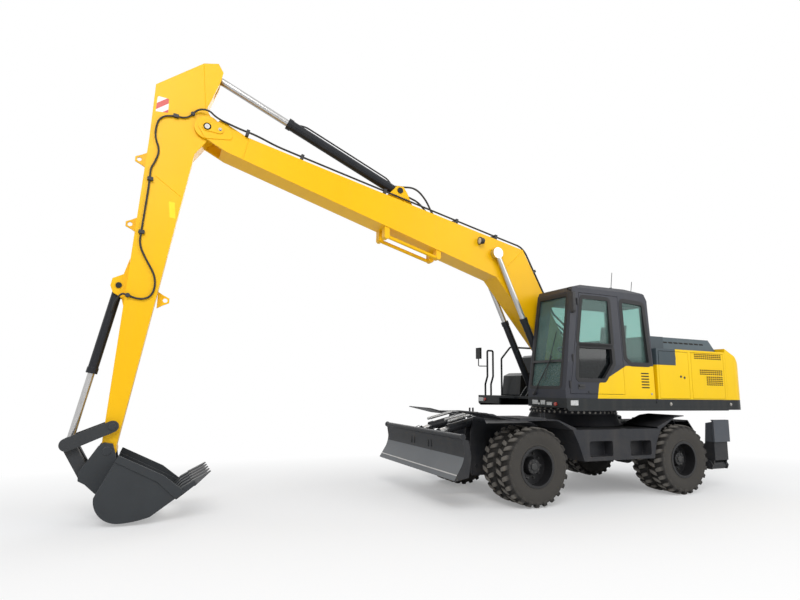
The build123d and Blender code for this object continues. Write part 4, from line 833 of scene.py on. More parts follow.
def one_tyre():
    """Carcass and both rows of lugs, about the origin, with the axle along Y."""
    shape = Shape()
    outline = [(-along, radius) for along, radius in CARCASS] + [
        (along, radius) for along, radius in CARCASS[-2::-1]
    ]
    shape.lathe(outline, Vector(), Vector((0, 1, 0)), Vector((1, 0, 0)), 72, closed=True)
    meshes = [shape.plain("carcass")]
    for side in (-1, 1):
        lug = template(lug_shape(side))
        start = math.pi / LUGS_ROUND * (side > 0)
        ring = in_ring(lug, TREAD_RUBBER["front"], LUGS_ROUND, start)
        ring.transform(TURN_TO_AXLE)
        meshes.append(ring)
    return joined(meshes)


DISC_FACE = -0.054                       # rim's disc, out from the middle of the outer tyre


def wheel_nuts(side):
    """Nuts, hub cover bolts and plug of one wheel about the origin, with the axle along Y."""
    way = Vector((0, 0, 1))
    across = Vector((1, 0, 0))
    nut = template(Shape().bolt(Vector((0.165, 0, DISC_FACE)), way, 0.030, 0.026))
    cover = template(Shape().bolt(Vector((0.078, 0, DISC_FACE + 0.089)), way, 0.019, 0.012))
    rings = [in_ring(nut, NUT_STEEL, 10), in_ring(cover, NUT_STEEL, 8, 0.2)]
    plug = Shape()
    outline = [(DISC_FACE + 0.089, 0.052), (DISC_FACE + 0.104, 0.047), (DISC_FACE + 0.107, 0.02)]
    plug.lathe(outline, Vector(), way, across, 32)
    whole = joined(rings + [plug.plain("plug")])
    whole.transform(Matrix.Rotation(-side * math.pi / 2, 4, "X"))
    return whole


def dress_wheels():
    """Twin tyres, and the nuts and cover bolts of each wheel."""
    tyre = one_tyre()
    for end in ("front", "rear"):
        for name, side in (("left", 1), ("right", -1)):
            node = f"tyres_{end}_{name}"
            low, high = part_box(node)
            axle = Vector(((low.x + high.x) / 2, 0, TYRE_R))
            meshes = []
            for middle in (low.y + TYRE_HALF, high.y - TYRE_HALF):
                copy = tyre.copy()
                copy.transform(Matrix.Translation(axle + Vector((0, middle, 0))))
                meshes.append(copy)
            rubber_finish = TREAD_RUBBER[end]
            settle(
                joined(meshes), f"tread_{end}_{name}", BODY_OF[node], rubber_finish, 30,
                replaces=(node,),
            )
            outer = (high.y if side > 0 else low.y) - side * TYRE_HALF
            nuts = wheel_nuts(side)
            nuts.transform(Matrix.Translation(axle + Vector((0, outer, 0))))
            settle(nuts, f"wheel_nuts_{end}_{name}", BODY_OF[node], NUT_STEEL, 30)


# ---------------------------------------------------------------- outlines, seals and routes
def corners_of(outline):
    """Each corner of an outline with its neighbours, as vectors."""
    points = [Vector(point) for point in outline]
    return zip(points[-1:] + points[:-1], points, points[1:] + points[:1])


def grown(outline, by):
    """Outline moved outwards by a distance."""
    area = sum(before.cross(corner) for before, corner, after in corners_of(outline))
    turn = 1 if area > 0 else -1
    moved = []
    for before, corner, after in corners_of(outline):
        into = (corner - before).normalized()
        out = (after - corner).normalized()
        first = Vector((into.y, -into.x)) * turn
        second = Vector((out.y, -out.x)) * turn
        moved.append(corner + (first + second) * (by / (1 + first.dot(second))))
    return moved


def rounded(outline, radius, steps=4):
    """Outline with each corner turned into an arc."""
    points = []
    for before, corner, after in corners_of(outline):
        back = before - corner
        ahead = after - corner
        half = back.angle(ahead) / 2
        reach = min(radius / math.tan(half), back.length * 0.45, ahead.length * 0.45)
        arc = reach * math.tan(half)
        centre = corner + (back.normalized() + ahead.normalized()).normalized() * (arc / math.sin(half))
        start = corner + back.normalized() * reach - centre
        end = corner + ahead.normalized() * reach - centre
        for step in range(steps + 1):
            points.append(centre + start.lerp(end, step / steps).normalized() * arc)
    return points


SEAL_PROUD = 0.004                       # how far a window's seal stands out from its wall


def seal(shape, outline, radius, out, inside, deep, place):
    """Closed frame along a window's edge; place(u, v, depth) puts it on its wall."""
    outer = rounded(grown(outline, out), radius + out)
    inner = rounded(grown(outline, -inside), max(radius - inside, 0.008))
    count = len(outer)
    rings = ((outer, SEAL_PROUD), (inner, SEAL_PROUD), (inner, -deep), (outer, -deep))
    points = [place(*point, depth) for ring, depth in rings for point in ring]
    loops = []
    for ring in range(4):
        here, there = ring * count, (ring + 1) % 4 * count
        loops += [
            (here + i, here + (i + 1) % count, there + (i + 1) % count, there + i) for i in range(count)
        ]
    return shape.faces(points, loops)


def plate(shape, outline, y, thick):
    """Flat plate with an (x, z) outline that stands out from a side face at y."""
    return shape.prism([at(x, y, z) for x, z in outline], Vector((0, thick, 0)))


def bar(shape, start, end, radius, sides=16):
    """Round bar between two places."""
    axis = end - start
    profile = [(0, radius * 0.92), (radius * 0.08, radius), (axis.length - radius * 0.08, radius)]
    profile.append((axis.length, radius * 0.92))
    way = axis.normalized()
    return shape.lathe(profile, start, way, way.orthogonal().normalized(), sides)


def stud(shape, x, z, inner, outer, radius, sides=16):
    """Round stud through a side face, from an inner to an outer y."""
    return bar(shape, at(x, inner, z), at(x, outer, z), radius, sides)


def hose(points, radius):
    """Mesh of a round pipe or hose along the smooth line that its points draw."""
    curve = bpy.data.curves.new("route", "CURVE")
    curve.dimensions = "3D"
    curve.bevel_depth = radius
    curve.bevel_resolution = 2
    curve.use_fill_caps = True
    spline = curve.splines.new("NURBS")
    spline.points.add(len(points) - 1)
    for knot, point in zip(spline.points, points):
        knot.co = (*point, 1)
    spline.order_u = 3
    spline.use_endpoint_u = True
    spline.resolution_u = 5
    holder = bpy.data.objects.new("route", curve)
    bpy.context.scene.collection.objects.link(holder)
    bpy.context.view_layer.update()
    mesh = bpy.data.meshes.new_from_object(holder.evaluated_get(bpy.context.evaluated_depsgraph_get()))
    bpy.data.objects.remove(holder)
    welded = bmesh.new()
    welded.from_mesh(mesh)
    bmesh.ops.remove_doubles(welded, verts=welded.verts, dist=1e-6)
    bmesh.ops.recalc_face_normals(welded, faces=welded.faces)
    welded.to_mesh(mesh)
    welded.free()
    return mesh


def bridge(routes, name, finish, radius=HOSE_R):
    """Hoses between two jointed bodies, from their first points to their last, as one fixed mesh."""
    data = joined([hose([at(*point) for point in route], radius) for route in routes])
    data.name = name
    data.materials.clear()
    data.materials.append(finish)
    data.shade_smooth()
    piece = bpy.data.objects.new(name, data)
    bpy.context.scene.collection.objects.link(piece)
    at(*routes[0][0])
    at(*routes[0][-1])
    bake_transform(piece)


# ---------------------------------------------------------------- cab
CAB_WAIST_Z = 1.950
CAB_FOOT_Y, CAB_WAIST_Y = 1.195, 1.185
CAB_HEAD_LEAN = 0.065 / 1.130            # inwards for each metre above the waist
CAB_FOOT_LEAN = 0.010 / 0.507            # inwards for each metre above the deck
CAB_BOOM_SIDE_Y = 0.345
CAB_REAR_X = -0.591
DOOR_WINDOWS = (
    [(0.230, 2.240), (0.230, 2.930), (0.745, 2.930), (0.880, 2.240)],
    [(0.230, 2.190), (0.230, 1.960), (0.420, 1.720), (0.925, 1.720), (0.880, 2.190)],
)
REAR_SIDE_WINDOW = [(-0.040, 2.060), (-0.040, 2.930), (-0.480, 2.910), (-0.520, 1.980), (-0.130, 1.980)]
SCREEN = [(0.405, 1.600), (0.405, 2.960), (1.035, 2.960), (1.080, 1.600)]
SCREEN_FOOT, SCREEN_HEAD = Vector((1.163, 1.560)), Vector((0.935, 3.020))
BOOM_SIDE_WINDOW = [(-0.480, 2.060), (-0.480, 2.900), (0.700, 2.900), (0.880, 1.980), (0.250, 1.980)]
REAR_WINDOW = [(0.435, 2.080), (0.435, 2.900), (1.010, 2.900), (1.060, 2.080)]


def cab_side_y(z):
    """The cab's outer side, which leans in more above the waist."""
    if z < CAB_WAIST_Z:
        return CAB_FOOT_Y - (z - DECK_TOP) * CAB_FOOT_LEAN
    return CAB_WAIST_Y - (z - CAB_WAIST_Z) * CAB_HEAD_LEAN


def on_cab_side(x, z, depth):
    return at(x, cab_side_y(z) + depth, z)


def on_boom_side(x, z, depth):
    return at(x, CAB_BOOM_SIDE_Y - depth, z)


def on_cab_rear(y, z, depth):
    return at(CAB_REAR_X - depth, y, z)


def on_screen(y, z, depth):
    """Place on the windscreen's plane, at a depth in front of it."""
    lean = (SCREEN_HEAD.x - SCREEN_FOOT.x) / (SCREEN_HEAD.y - SCREEN_FOOT.y)
    normal = Vector((1, 0, -lean)).normalized()
    return at(SCREEN_FOOT.x + (z - SCREEN_FOOT.y) * lean, y, z) + normal * depth


def window_seals():
    """Black surrounds of the door's windows and of the cab's."""
    door = Shape()
    for window in DOOR_WINDOWS:
        seal(door, window, 0.030, 0.044, 0.014, 0.046, on_cab_side)
    door.done("door_seals", "cab_door", SEAL_RUBBER, 30)

    shell = Shape()
    seal(shell, REAR_SIDE_WINDOW, 0.040, 0.050, 0.014, 0.050, on_cab_side)
    seal(shell, SCREEN, 0.030, 0.032, 0.014, 0.030, on_screen)
    seal(shell, BOOM_SIDE_WINDOW, 0.040, 0.020, 0.012, 0.040, on_boom_side)
    seal(shell, REAR_WINDOW, 0.040, 0.020, 0.012, 0.040, on_cab_rear)
    shell.done("cab_seals", "house", SEAL_RUBBER, 30)


def cab_fittings():
    """Rail across the windscreen, wiper and aerials, and the mirror's housing."""
    trim = Shape()
    section = ((1.962, 0.008), (1.962, -0.016), (1.998, -0.016), (1.998, 0.008))
    trim.prism([on_screen(0.405, z, depth) for z, depth in section], Vector((0, 0.670, 0)))
    bar(trim, on_screen(0.52, 1.50, 0.016), on_screen(0.86, 2.05, 0.022), 0.008)
    bar(trim, on_screen(0.74, 1.72, 0.014), on_screen(0.90, 2.42, 0.014), 0.006)
    bar(trim, on_screen(0.52, 1.50, -0.01), on_screen(0.52, 1.50, 0.034), 0.022)
    for x, y, reach in ((-0.079, 0.896, 0.30), (-0.540, 0.862, 0.24)):
        foot = at(x, y, 3.10 if x < -0.3 else 3.14)
        bar(trim, foot, foot + Vector((0, 0, 0.05)), 0.022)
        bar(trim, foot, foot + Vector((-0.04, 0, reach)), 0.005, 8)
    trim.done("cab_trim", "house", BLACK_PLASTIC, 30)
    mirror = Shape()
    outline = rounded([(1.078, 2.685), (1.205, 2.685), (1.205, 3.000), (1.078, 3.000)], 0.035)
    mirror.prism([at(0.926, y, z) for y, z in outline], Vector((0.055, 0, 0)))
    mirror.done("mirror_housing", "house", BLACK_PLASTIC, 30, bevel=0.012)


def cab_louvres():
    """Air slots low behind the door, as near-black plates of painted shade."""
    slot = Shape()
    plate(
        slot, [(-0.480, 1.606), (-0.320, 1.606), (-0.320, 1.624), (-0.480, 1.624)],
        cab_side_y(1.615) - 0.008, 0.010,
    )
    louvres = in_rows(template(slot), SLOT_SHADE, 6, (0, -0.00085, 0.043))
    settle(louvres, "cab_louvres", "house", SLOT_SHADE, 30)


def door_fittings():
    """Handle in its recess, lock and hinges."""
    grip = Shape()
    recess = rounded([(0.80, 1.575), (0.93, 1.575), (0.93, 1.645), (0.80, 1.645)], 0.02)
    plate(grip, recess, cab_side_y(1.61), 0.005)
    plate(
        grip, rounded([(0.815, 1.612), (0.915, 1.612), (0.915, 1.634), (0.815, 1.634)], 0.009),
        cab_side_y(1.61), 0.020,
    )
    stud(grip, 0.729, 1.537, cab_side_y(1.54) - 0.01, cab_side_y(1.54) + 0.010, 0.014)
    for z in (1.640, 2.020, 2.860):
        x = 1.075 - (z - 1.560) * 0.275 / 1.445 + 0.012
        bar(grip, at(x, cab_side_y(z) + 0.004, z - 0.05), at(x, cab_side_y(z) + 0.004, z + 0.05), 0.015)
    grip.done("door_handle", "cab_door", BLACK_PLASTIC, 30)


def deck_lamps():
    """Red and clear lamps on the front edge of the deck, and the pale plate beside them."""
    red = Shape()
    bar(red, at(1.160, 0.985, 1.356), at(1.185, 0.985, 1.356), 0.026, 24)
    bar(red, at(1.084, -0.985, 1.372), at(1.108, -0.985, 1.372), 0.026, 24)
    red.done("red_lamps", "house", RED_LENS, 30)
    pale = Shape()
    pale.box(at(1.160, 0.800, 1.336), at(1.182, 0.895, 1.382))
    bar(pale, at(1.160, 0.612, 1.351), at(1.180, 0.612, 1.351), 0.016, 16)
    pale.box(at(0.955, 1.205, 1.345), at(1.090, 1.214, 1.415))
    pale.done("pale_lamps", "house", CLEAR_LENS, 30, bevel=0.003)


# ---------------------------------------------------------------- seat
def cushion(width, length, thick, crown, seams, name):
    """Crowned closed pad: width along x, length along y, sewn channels at the given shares of its length."""
    steps = 28
    spans = [2 * i / steps - 1 for i in range(steps + 1)]
    shape = Shape()
    sheets = []
    for top in (True, False):
        sheet = []
        for u in spans:
            row = []
            for v in spans:
                pull_x = 1 - 0.05 * (1 - v * v)
                pull_y = 1 - 0.04 * (1 - u * u)
                fall = ((1 - u ** 8) * (1 - v ** 8)) ** 0.5
                channel = sum(math.exp(-((v - seam) / 0.035) ** 2) for seam in seams)
                rise = crown * (1 - u * u) * (1 - v * v) - 0.014 * channel * (1 - u ** 6)
                height = thick * 0.5 + (thick * 0.5 * fall + rise if top else -thick * 0.5 * fall)
                row.append(Vector((u * width / 2 * pull_x, v * length / 2 * pull_y, height)))
            sheet.append(row)
        sheets.append(sheet)
    for sheet in sheets:
        verts = [[shape.mesh.verts.new(point) for point in row] for row in sheet]
        for i in range(steps):
            for j in range(steps):
                shape.mesh.faces.new((verts[i][j], verts[i + 1][j], verts[i + 1][j + 1], verts[i][j + 1]))
    return shape.plain(name, 1e-5)


SEAT_X, SEAT_Y = 0.060, 0.770


def dress_seat():
    """Suspension base, and the padded seat, back and headrest with their sewn channels."""
    upright = math.pi / 2 - math.atan2(0.10, 0.68)
    pads = (
        # name, width, length, thickness, crown, seams, place of its underside's middle, turn about y
        ("seat_cushion", 0.49, 0.50, 0.115, 0.020, (-0.52, 0.52), at(SEAT_X + 0.025, SEAT_Y, 1.835), 0.0),
        ("seat_back", 0.66, 0.48, 0.090, 0.016, (-0.50, 0.50), at(SEAT_X - 0.265, SEAT_Y, 2.265), upright),
        ("headrest", 0.19, 0.28, 0.070, 0.010, (), at(SEAT_X - 0.320, SEAT_Y, 2.690), upright),
    )
    for name, width, length, thick, crown, seams, place, turn in pads:
        data = cushion(width, length, thick, crown, seams, name)
        data.transform(Matrix.Translation(place) @ Matrix.Rotation(turn, 4, "Y"))
        replaced = ("seat",) if name == "seat_cushion" else ()
        pad = settle(data, name, "house", SEAT_CLOTH, 60, replaces=replaced)
    base = Shape()
    outline = rounded([(-0.16, -0.17), (0.18, -0.17), (0.18, 0.17), (-0.16, 0.17)], 0.03)
    base.prism([at(SEAT_X + x, SEAT_Y + y, 1.494) for x, y in outline], Vector((0, 0, 0.265)))
    tray = rounded([(-0.22, -0.235), (0.26, -0.235), (0.26, 0.235), (-0.22, 0.235)], 0.04)
    base.prism([at(SEAT_X + x, SEAT_Y + y, 1.780) for x, y in tray], Vector((0, 0, 0.058)))
    shell = [(-0.235, 1.80), (-0.335, 2.58), (-0.315, 2.59), (-0.210, 1.84)]
    base.prism([at(SEAT_X + x - 0.03, SEAT_Y - 0.20, z) for x, z in shell], Vector((0, 0.40, 0)))
    for y in (-0.06, 0.06):
        bar(base, at(SEAT_X - 0.345, SEAT_Y + y, 2.54), at(SEAT_X - 0.372, SEAT_Y + y, 2.70), 0.007, 8)
    neck = grown(outline, -0.03)
    base.prism([at(SEAT_X + x, SEAT_Y + y, 1.758) for x, y in neck], Vector((0, 0, 0.03)))
    base.done("seat_base", "house", BLACK_PLASTIC, 30, bevel=0.003)


# ---------------------------------------------------------------- engine housing
GRILLES = (
    # front and rear edge, height of the middle, rows of slots
    (-1.490, -2.140, 2.135, 3), (-1.600, -2.150, 1.883, 3), (-1.750, -2.150, 1.744, 5),
)
GRILLE_PITCH = (0.050, 0.031)
HOOD_FOOT, HOOD_HEAD = Vector((1.060, 2.236)), Vector((0.930, 2.450))


def dress_housing_side(name, side):
    """Grilles of the rear door, slots of the hood, and cowl and locks of the front door, on one side; the slots
    are near-black plates of painted shade.
    """
    slot = Shape()
    # painted shade: each slot is a thin near-black plate under its lip, for the shaded opening
    dark = [(-0.022, -0.009), (0.010, -0.009), (0.022, 0.009), (-0.010, 0.009)]
    plate(slot, dark, side * (BODY_SIDE_Y - 0.006), side * 0.0075)
    lip = Shape()
    rear, front = (at(x, side * (BODY_SIDE_Y - 0.002), 0.008) for x in (-0.012, 0.024))
    out = Vector((0.002, side * 0.008, 0.004))
    lip.prism([rear, front, front + out, rear + out], Vector((0, 0, 0.005)))
    slot, lip = template(slot), template(lip)
    # painted shade: the slot plates listed here with the black plastic look are near black for the shaded openings
    parts = ((slot, "slots", SLOT_SHADE, "black_plastic"), (lip, "lips", BODY_ENAMEL, "body_yellow"))
    for piece, kind, finish, look in parts:
        meshes = []
        for front, rear, z, rows in GRILLES:
            count = round((front - rear) / GRILLE_PITCH[0])
            mesh = in_rows(piece, finish, count, (-GRILLE_PITCH[0], 0, 0), rows, (0, 0, GRILLE_PITCH[1]))
            lowest = z - (rows - 1) * GRILLE_PITCH[1] / 2
            mesh.transform(Matrix.Translation((front - GRILLE_PITCH[0] / 2, 0, lowest)))
            meshes.append(mesh)
        settle(joined(meshes), f"grille_{kind}_{name}", f"side_door_{name}_rear", finish, 30)

    run = (HOOD_HEAD - HOOD_FOOT).normalized()
    # painted shade: the hood's vents are near-black blocks for the shaded openings
    vent = Shape()
    low, high = HOOD_FOOT + run * 0.128, HOOD_FOOT + run * 0.158
    face = [(low.x, low.y), (low.x - 0.02, low.y), (high.x - 0.02, high.y), (high.x + 0.003, high.y + 0.002)]
    vent.prism([at(-1.070 - 0.095, side * y, z) for y, z in face], Vector((0.095, 0, 0)))
    vents = in_rows(template(vent), SLOT_SHADE, 8, (-0.1225, 0, 0))
    settle(vents, "hood_slots_" + name, "hood", SLOT_SHADE, 30)

    cowl = Shape()
    outline = [(-0.686, 1.980), (-0.686, 2.189), (-1.050, 2.189), (-1.064, 2.070), (-1.010, 1.980)]
    plate(cowl, outline, side * (BODY_SIDE_Y - 0.004), side * 0.010)
    cowl.done("cowl_" + name, f"side_door_{name}_front", COWL_ENAMEL, 30, bevel=0.003)

    fittings = Shape()
    for x, z in ((-1.16, 1.800), (-1.24, 1.785)):
        stud(fittings, x, z, side * (BODY_SIDE_Y - 0.01), side * (BODY_SIDE_Y + 0.006), 0.020)
    fittings.done("door_locks_" + name, f"side_door_{name}_front", BLACK_PLASTIC, 30)


def skirt_fittings():
    """Bolts of the skirt, and the filler's cap."""
    knobs = Shape()
    stud(knobs, -0.519, 1.52, 1.185, 1.200, 0.018)
    for x in (-2.300, -0.900):
        knobs.bolt(at(x, BODY_SIDE_Y, 1.370), Vector((0, 1, 0)), 0.034, 0.014)
        knobs.bolt(at(x, -BODY_SIDE_Y, 1.370), Vector((0, -1, 0)), 0.034, 0.014)
    knobs.done("skirt_bolts", "house", ZINC, 30)
    cap = Shape()
    stud(cap, -0.605, 1.402, BODY_SIDE_Y - 0.01, BODY_SIDE_Y + 0.010, 0.022)
    cap.done("filler_cap", "house", BODY_ENAMEL, 30)


def slew_bolts():
    """Both circles of bolts at the slewing ring."""
    ring = template(Shape().bolt(Vector((0.660, 0, 1.255)), Vector((0, 0, 1)), 0.030, 0.018))
    inner = template(Shape().bolt(Vector((0.692, 0, 1.216)), Vector((1, 0, 0)), 0.026, 0.012))
    bolts = joined([in_ring(ring, ZINC, 36), in_ring(inner, ZINC, 48, 0.06)])
    bolts.transform(Matrix.Translation(at(0, 0, 0)))
    settle(bolts, "slew_bolts", "chassis", ZINC, 30)


# ---------------------------------------------------------------- boom
BOOM_PIPES = (
    # x, y, z of the points that draw each pipe: up the back, over the knee and out along the top
    [(0.560, -0.060, 2.985), (0.950, -0.060, 3.690), (1.010, -0.060, 3.800), (1.110, -0.060, 3.896),
     (1.240, -0.060, 3.924), (2.190, -0.060, 4.135), (2.500, -0.060, 4.206)],
    [(0.560, -0.110, 2.985), (0.940, -0.110, 3.672), (1.005, -0.110, 3.800), (1.110, -0.110, 3.898),
     (1.250, -0.110, 3.928), (2.190, -0.110, 4.137), (2.520, -0.110, 4.212)],
    [(0.560, 0.140, 2.985), (0.940, 0.140, 3.672), (1.005, 0.140, 3.800), (1.110, 0.140, 3.898),
     (1.250, 0.140, 3.928), (2.190, 0.140, 4.137), (4.900, 0.140, 4.757), (5.200, 0.140, 4.826),
     (5.420, 0.205, 4.872), (5.560, 0.224, 4.902), (5.700, 0.224, 4.925), (5.920, 0.224, 4.990)],
)
PIPE_CLAMPS = (
    # x, z of the pipes' middle, turn of the clamp, and its reach in y
    (0.850, 3.500, 61, -0.140, 0.168), (1.600, 4.001, 12.5, -0.140, 0.168),
    (2.330, 4.162, 13, -0.140, 0.168),
    (3.560, 4.447, 13, 0.112, 0.168), (4.830, 4.741, 13, 0.112, 0.168),
)
TIP_PLATE = [(6.262, 4.930), (5.860, 5.010), (5.770, 4.770), (6.130, 4.722)]
TIP_PLATE_T = 0.012


def turned(outline, x, z, degrees):
    """(x, z) outline turned and then moved."""
    angle = math.radians(degrees)
    return [
        (x + a * math.cos(angle) - b * math.sin(angle), z + a * math.sin(angle) + b * math.cos(angle))
        for a, b in outline
    ]


def dress_boom():
    """Pipes and clamps, tip plates and pin keepers, rails under the middle, weld beads and bolts."""
    pipes = [hose([at(*point) for point in route], 0.014) for route in BOOM_PIPES]
    settle(joined(pipes), "boom_hoses", "boom", HOSE_RUBBER, 40)
    clamps = Shape()
    for x, z, degrees, low, high in PIPE_CLAMPS:
        outline = turned([(-0.022, -0.050), (0.022, -0.050), (0.022, 0.032), (-0.022, 0.032)], x, z, degrees)
        plate(clamps, outline, low, high - low)
    last = turned([(-0.022, -0.060), (0.022, -0.060), (0.022, 0.030), (-0.022, 0.030)], 5.600, 4.908, 12)
    plate(clamps, last, BOOM_SIDE_Y - 0.02, 0.075)
    clamps.done("pipe_clamps", "boom", BLACK_PLASTIC, 30, bevel=0.004)

    steel = Shape()
    for side in (-1, 1):
        plate(steel, rounded(TIP_PLATE, 0.050), side * (BOOM_SIDE_Y - 0.002), side * TIP_PLATE_T)
        keeper = rounded([(-0.21, -0.058), (0.062, -0.058), (0.062, 0.058), (-0.21, 0.058)], 0.056)
        keeper = turned(keeper, *pin("arm_swing"), 3)
        plate(steel, keeper, side * (BOOM_SIDE_Y + TIP_PLATE_T - 0.003), side * 0.013)
        for front, rear, z in ((3.560, 3.480, 3.762), (2.700, 2.620, 3.545)):
            foot = [
                (front, z + 0.150), (front, z - 0.020), (front - 0.025, z - 0.045),
                (rear + 0.025, z - 0.045), (rear, z - 0.020), (rear, z + 0.150),
            ]
            plate(steel, foot, side * 0.060, side * 0.115)
        bar(steel, at(3.480, side * 0.140, 3.750), at(2.700, side * 0.140, 3.533), 0.027)
    steel.done("boom_fittings", "boom", BOOM_ENAMEL, 30, bevel=0.004)

    beads = Shape()
    for side in (-1, 1):
        bar(beads, at(5.576, side * BOOM_SIDE_Y, 4.830), at(5.635, side * BOOM_SIDE_Y, 4.545), 0.005, 8)
        bar(beads, at(1.095, side * BOOM_SIDE_Y, 3.822), at(1.615, side * BOOM_SIDE_Y, 3.335), 0.005, 8)
    beads.done("boom_welds", "boom", BOOM_ENAMEL, 30)

    bolts = Shape()
    for side in (-1, 1):
        way = Vector((0, side, 0))
        face = side * (BOOM_SIDE_Y + TIP_PLATE_T + 0.010)
        bolts.bolt(at(5.955, face, 4.876), way, 0.030, 0.016)
        stud(bolts, *pin("arm_swing"), face - side * 0.01, face + side * 0.006, 0.036, 24)
    bolts.done("boom_bolts", "boom", ZINC, 30)


def work_lamp():
    """Lamp on the boom's cab side."""
    lamp_x, lamp_y, lamp_z = 1.927, BOOM_SIDE_Y + 0.062, 3.865
    body = Shape()
    ahead = Vector((1, 0, 0))
    up = Vector((0, 0, 1))
    profile = [
        (-0.034, 0.030), (-0.028, 0.046), (0.020, 0.054), (0.036, 0.062), (0.046, 0.062), (0.046, 0.052),
        (0.038, 0.050),
    ]
    body.lathe(profile, at(lamp_x, lamp_y, lamp_z), ahead, up, 32)
    body.box(
        at(lamp_x - 0.008, BOOM_SIDE_Y, lamp_z - 0.020), at(lamp_x + 0.008, lamp_y - 0.03, lamp_z + 0.020),
    )
    body.done("work_lamp_body", "boom", BLACK_PLASTIC, 30)
    glass = Shape()
    dome = [(0.036, 0.0505), (0.043, 0.049), (0.048, 0.030), (0.050, 0.008)]
    glass.lathe(dome, at(lamp_x, lamp_y, lamp_z), ahead, up, 32)
    glass.done("work_lamp_lens", "boom", CLEAR_LENS, 40)


# ---------------------------------------------------------------- arm
ARM_PIPE_Y = ARM_SIDE_Y + HOSE_R + 0.003
ARM_PIPE = [
    (6.300, 5.035), (6.360, 4.950), (6.520, 4.962), (6.700, 4.905), (6.730, 4.640), (6.650, 4.470),
    (6.690, 4.300), (6.738, 4.200), (6.730, 4.060), (6.772, 3.380), (6.780, 3.215), (6.690, 3.040),
    (6.560, 2.830), (6.575, 2.600), (6.720, 2.530), (6.850, 2.585),
]
BOSS_HEIGHT = 0.006
STRIPE_PLATE = [(6.732, 5.190), (6.601, 5.181), (6.595, 4.990), (6.742, 4.978)]


def dress_arm():
    """Bucket cylinder's hose and its clips, weld beads, bosses round the pins, striped plates and labels."""
    line = hose([at(x, ARM_PIPE_Y, z) for x, z in ARM_PIPE], 0.0115)
    settle(line, "arm_hose", "arm", HOSE_RUBBER, 40)
    clips = Shape()
    for x, z in ((6.728, 4.068), (6.768, 3.378), (6.500, 4.960)):
        clip = rounded([(-0.034, -0.022), (0.034, -0.022), (0.034, 0.022), (-0.034, 0.022)], 0.008)
        plate(clips, turned(clip, x, z, 5), ARM_SIDE_Y - 0.002, 0.042)
    for x, z in (ARM_PIPE[0], ARM_PIPE[-1]):
        stud(clips, x, z, ARM_SIDE_Y - 0.002, ARM_PIPE_Y + 0.020, 0.026, 20)
    clips.done("arm_clips", "arm", BLACK_PLASTIC, 30, bevel=0.003)
    beads = Shape()
    for side in (-1, 1):
        bar(beads, at(6.668, side * ARM_SIDE_Y, 4.122), at(6.362, side * ARM_SIDE_Y, 3.900), 0.0045, 8)
        bar(beads, at(6.215, side * ARM_SIDE_Y, 5.780), at(6.150, side * ARM_SIDE_Y, 5.160), 0.0045, 8)
    beads.done("arm_welds", "arm", BOOM_ENAMEL, 30)
    rings = Shape()
    for joint, radius in (("rocker_swing", 0.060), ("bucket_curl", 0.080)):
        x, z = pin(joint)
        for side in (-1, 1):
            stud(rings, x, z, side * (ARM_SIDE_Y - 0.004), side * (ARM_SIDE_Y + BOSS_HEIGHT), radius, 32)
    rings.done("arm_bosses", "arm", BOOM_ENAMEL, 30)
    for side in (-1, 1):
        name = "left" if side > 0 else "right"
        stripes = Shape()
        plate(stripes, STRIPE_PLATE, side * (ARM_SIDE_Y - 0.001), side * 0.0022)
        stripes.done("stripe_plate_" + name, "arm", STRIPES, 30)
        label = Shape()
        plate(label, rounded([(6.398, 3.601), (6.470, 3.610), (6.496, 3.818), (6.424, 3.812)], 0.01),
              side * (ARM_SIDE_Y - 0.001), side * 0.0018)
        label.done("blank_label_" + name, "arm", LABEL_YELLOW, 30)


# ---------------------------------------------------------------- hoses over the joints
ARM_ROD_EYE = Vector((6.067, 5.714))


def lead_hoses():
    """Hoses from house to boom, boom to arm and to the arm's cylinder, and arm to the bucket's cylinder."""
    feet = ((-0.060, 0.040), (-0.110, -0.075), (0.140, 0.120))
    bridge(
        [[(-0.120, foot, 1.900), (-0.120, foot, 2.180), (0.060, foot, 2.520),
          (0.380, y, 2.760), (0.460, y, 2.805),
          (0.562, y, 2.988)] for y, foot in feet],
        "foot_hoses", HOSE_RUBBER,
    )
    bridge(
        [[(2.498, -0.060, 4.205), (2.640, -0.060, 4.240), (2.760, -0.062, 4.500), (2.960, -0.064, 4.680),
          (3.220, -0.060, 4.640), (3.390, -0.050, 4.630)],
         [(2.518, -0.110, 4.211), (2.680, -0.112, 4.250), (2.860, -0.116, 4.460), (3.040, -0.118, 4.520),
          (3.200, -0.105, 4.560), (3.420, -0.060, 4.640)]],
        "arm_cylinder_hoses", HOSE_RUBBER, 0.015,
    )
    bridge(
        [[(5.918, 0.224, 4.989), (6.020, 0.226, 5.025), (6.100, 0.226, 5.100), (6.200, 0.205, 5.110),
          (6.270, 0.185, 5.075), (6.302, 0.172, 5.032)]],
        "arm_joint_hose", HOSE_RUBBER, 0.0125,
    )
    bridge(
        [[(6.849, 0.170, 2.584), (6.905, 0.172, 2.610), (6.950, 0.150, 2.560), (6.985, 0.110, 2.500),
          (7.000, 0.070, 2.440), (7.012, 0.050, 2.380)]],
        "bucket_cylinder_hose", HOSE_RUBBER, 0.012,
    )
    foot = Vector(pin("arm_barrel_swing"))
    run = (ARM_ROD_EYE - foot).normalized()
    across = Vector((-run.y, run.x))
    line = []
    for reach, off in (
        (0.16, 0.060), (0.22, 0.098), (0.34, 0.100), (1.55, 0.100), (1.66, 0.098), (1.74, 0.060),
    ):
        spot = foot + run * reach + across * off
        line.append(at(spot.x, 0.020, spot.y))
    barrel_pipe = hose(line, 0.012)
    settle(barrel_pipe, "barrel_pipe", "arm_barrel", HOSE_RUBBER, 40)


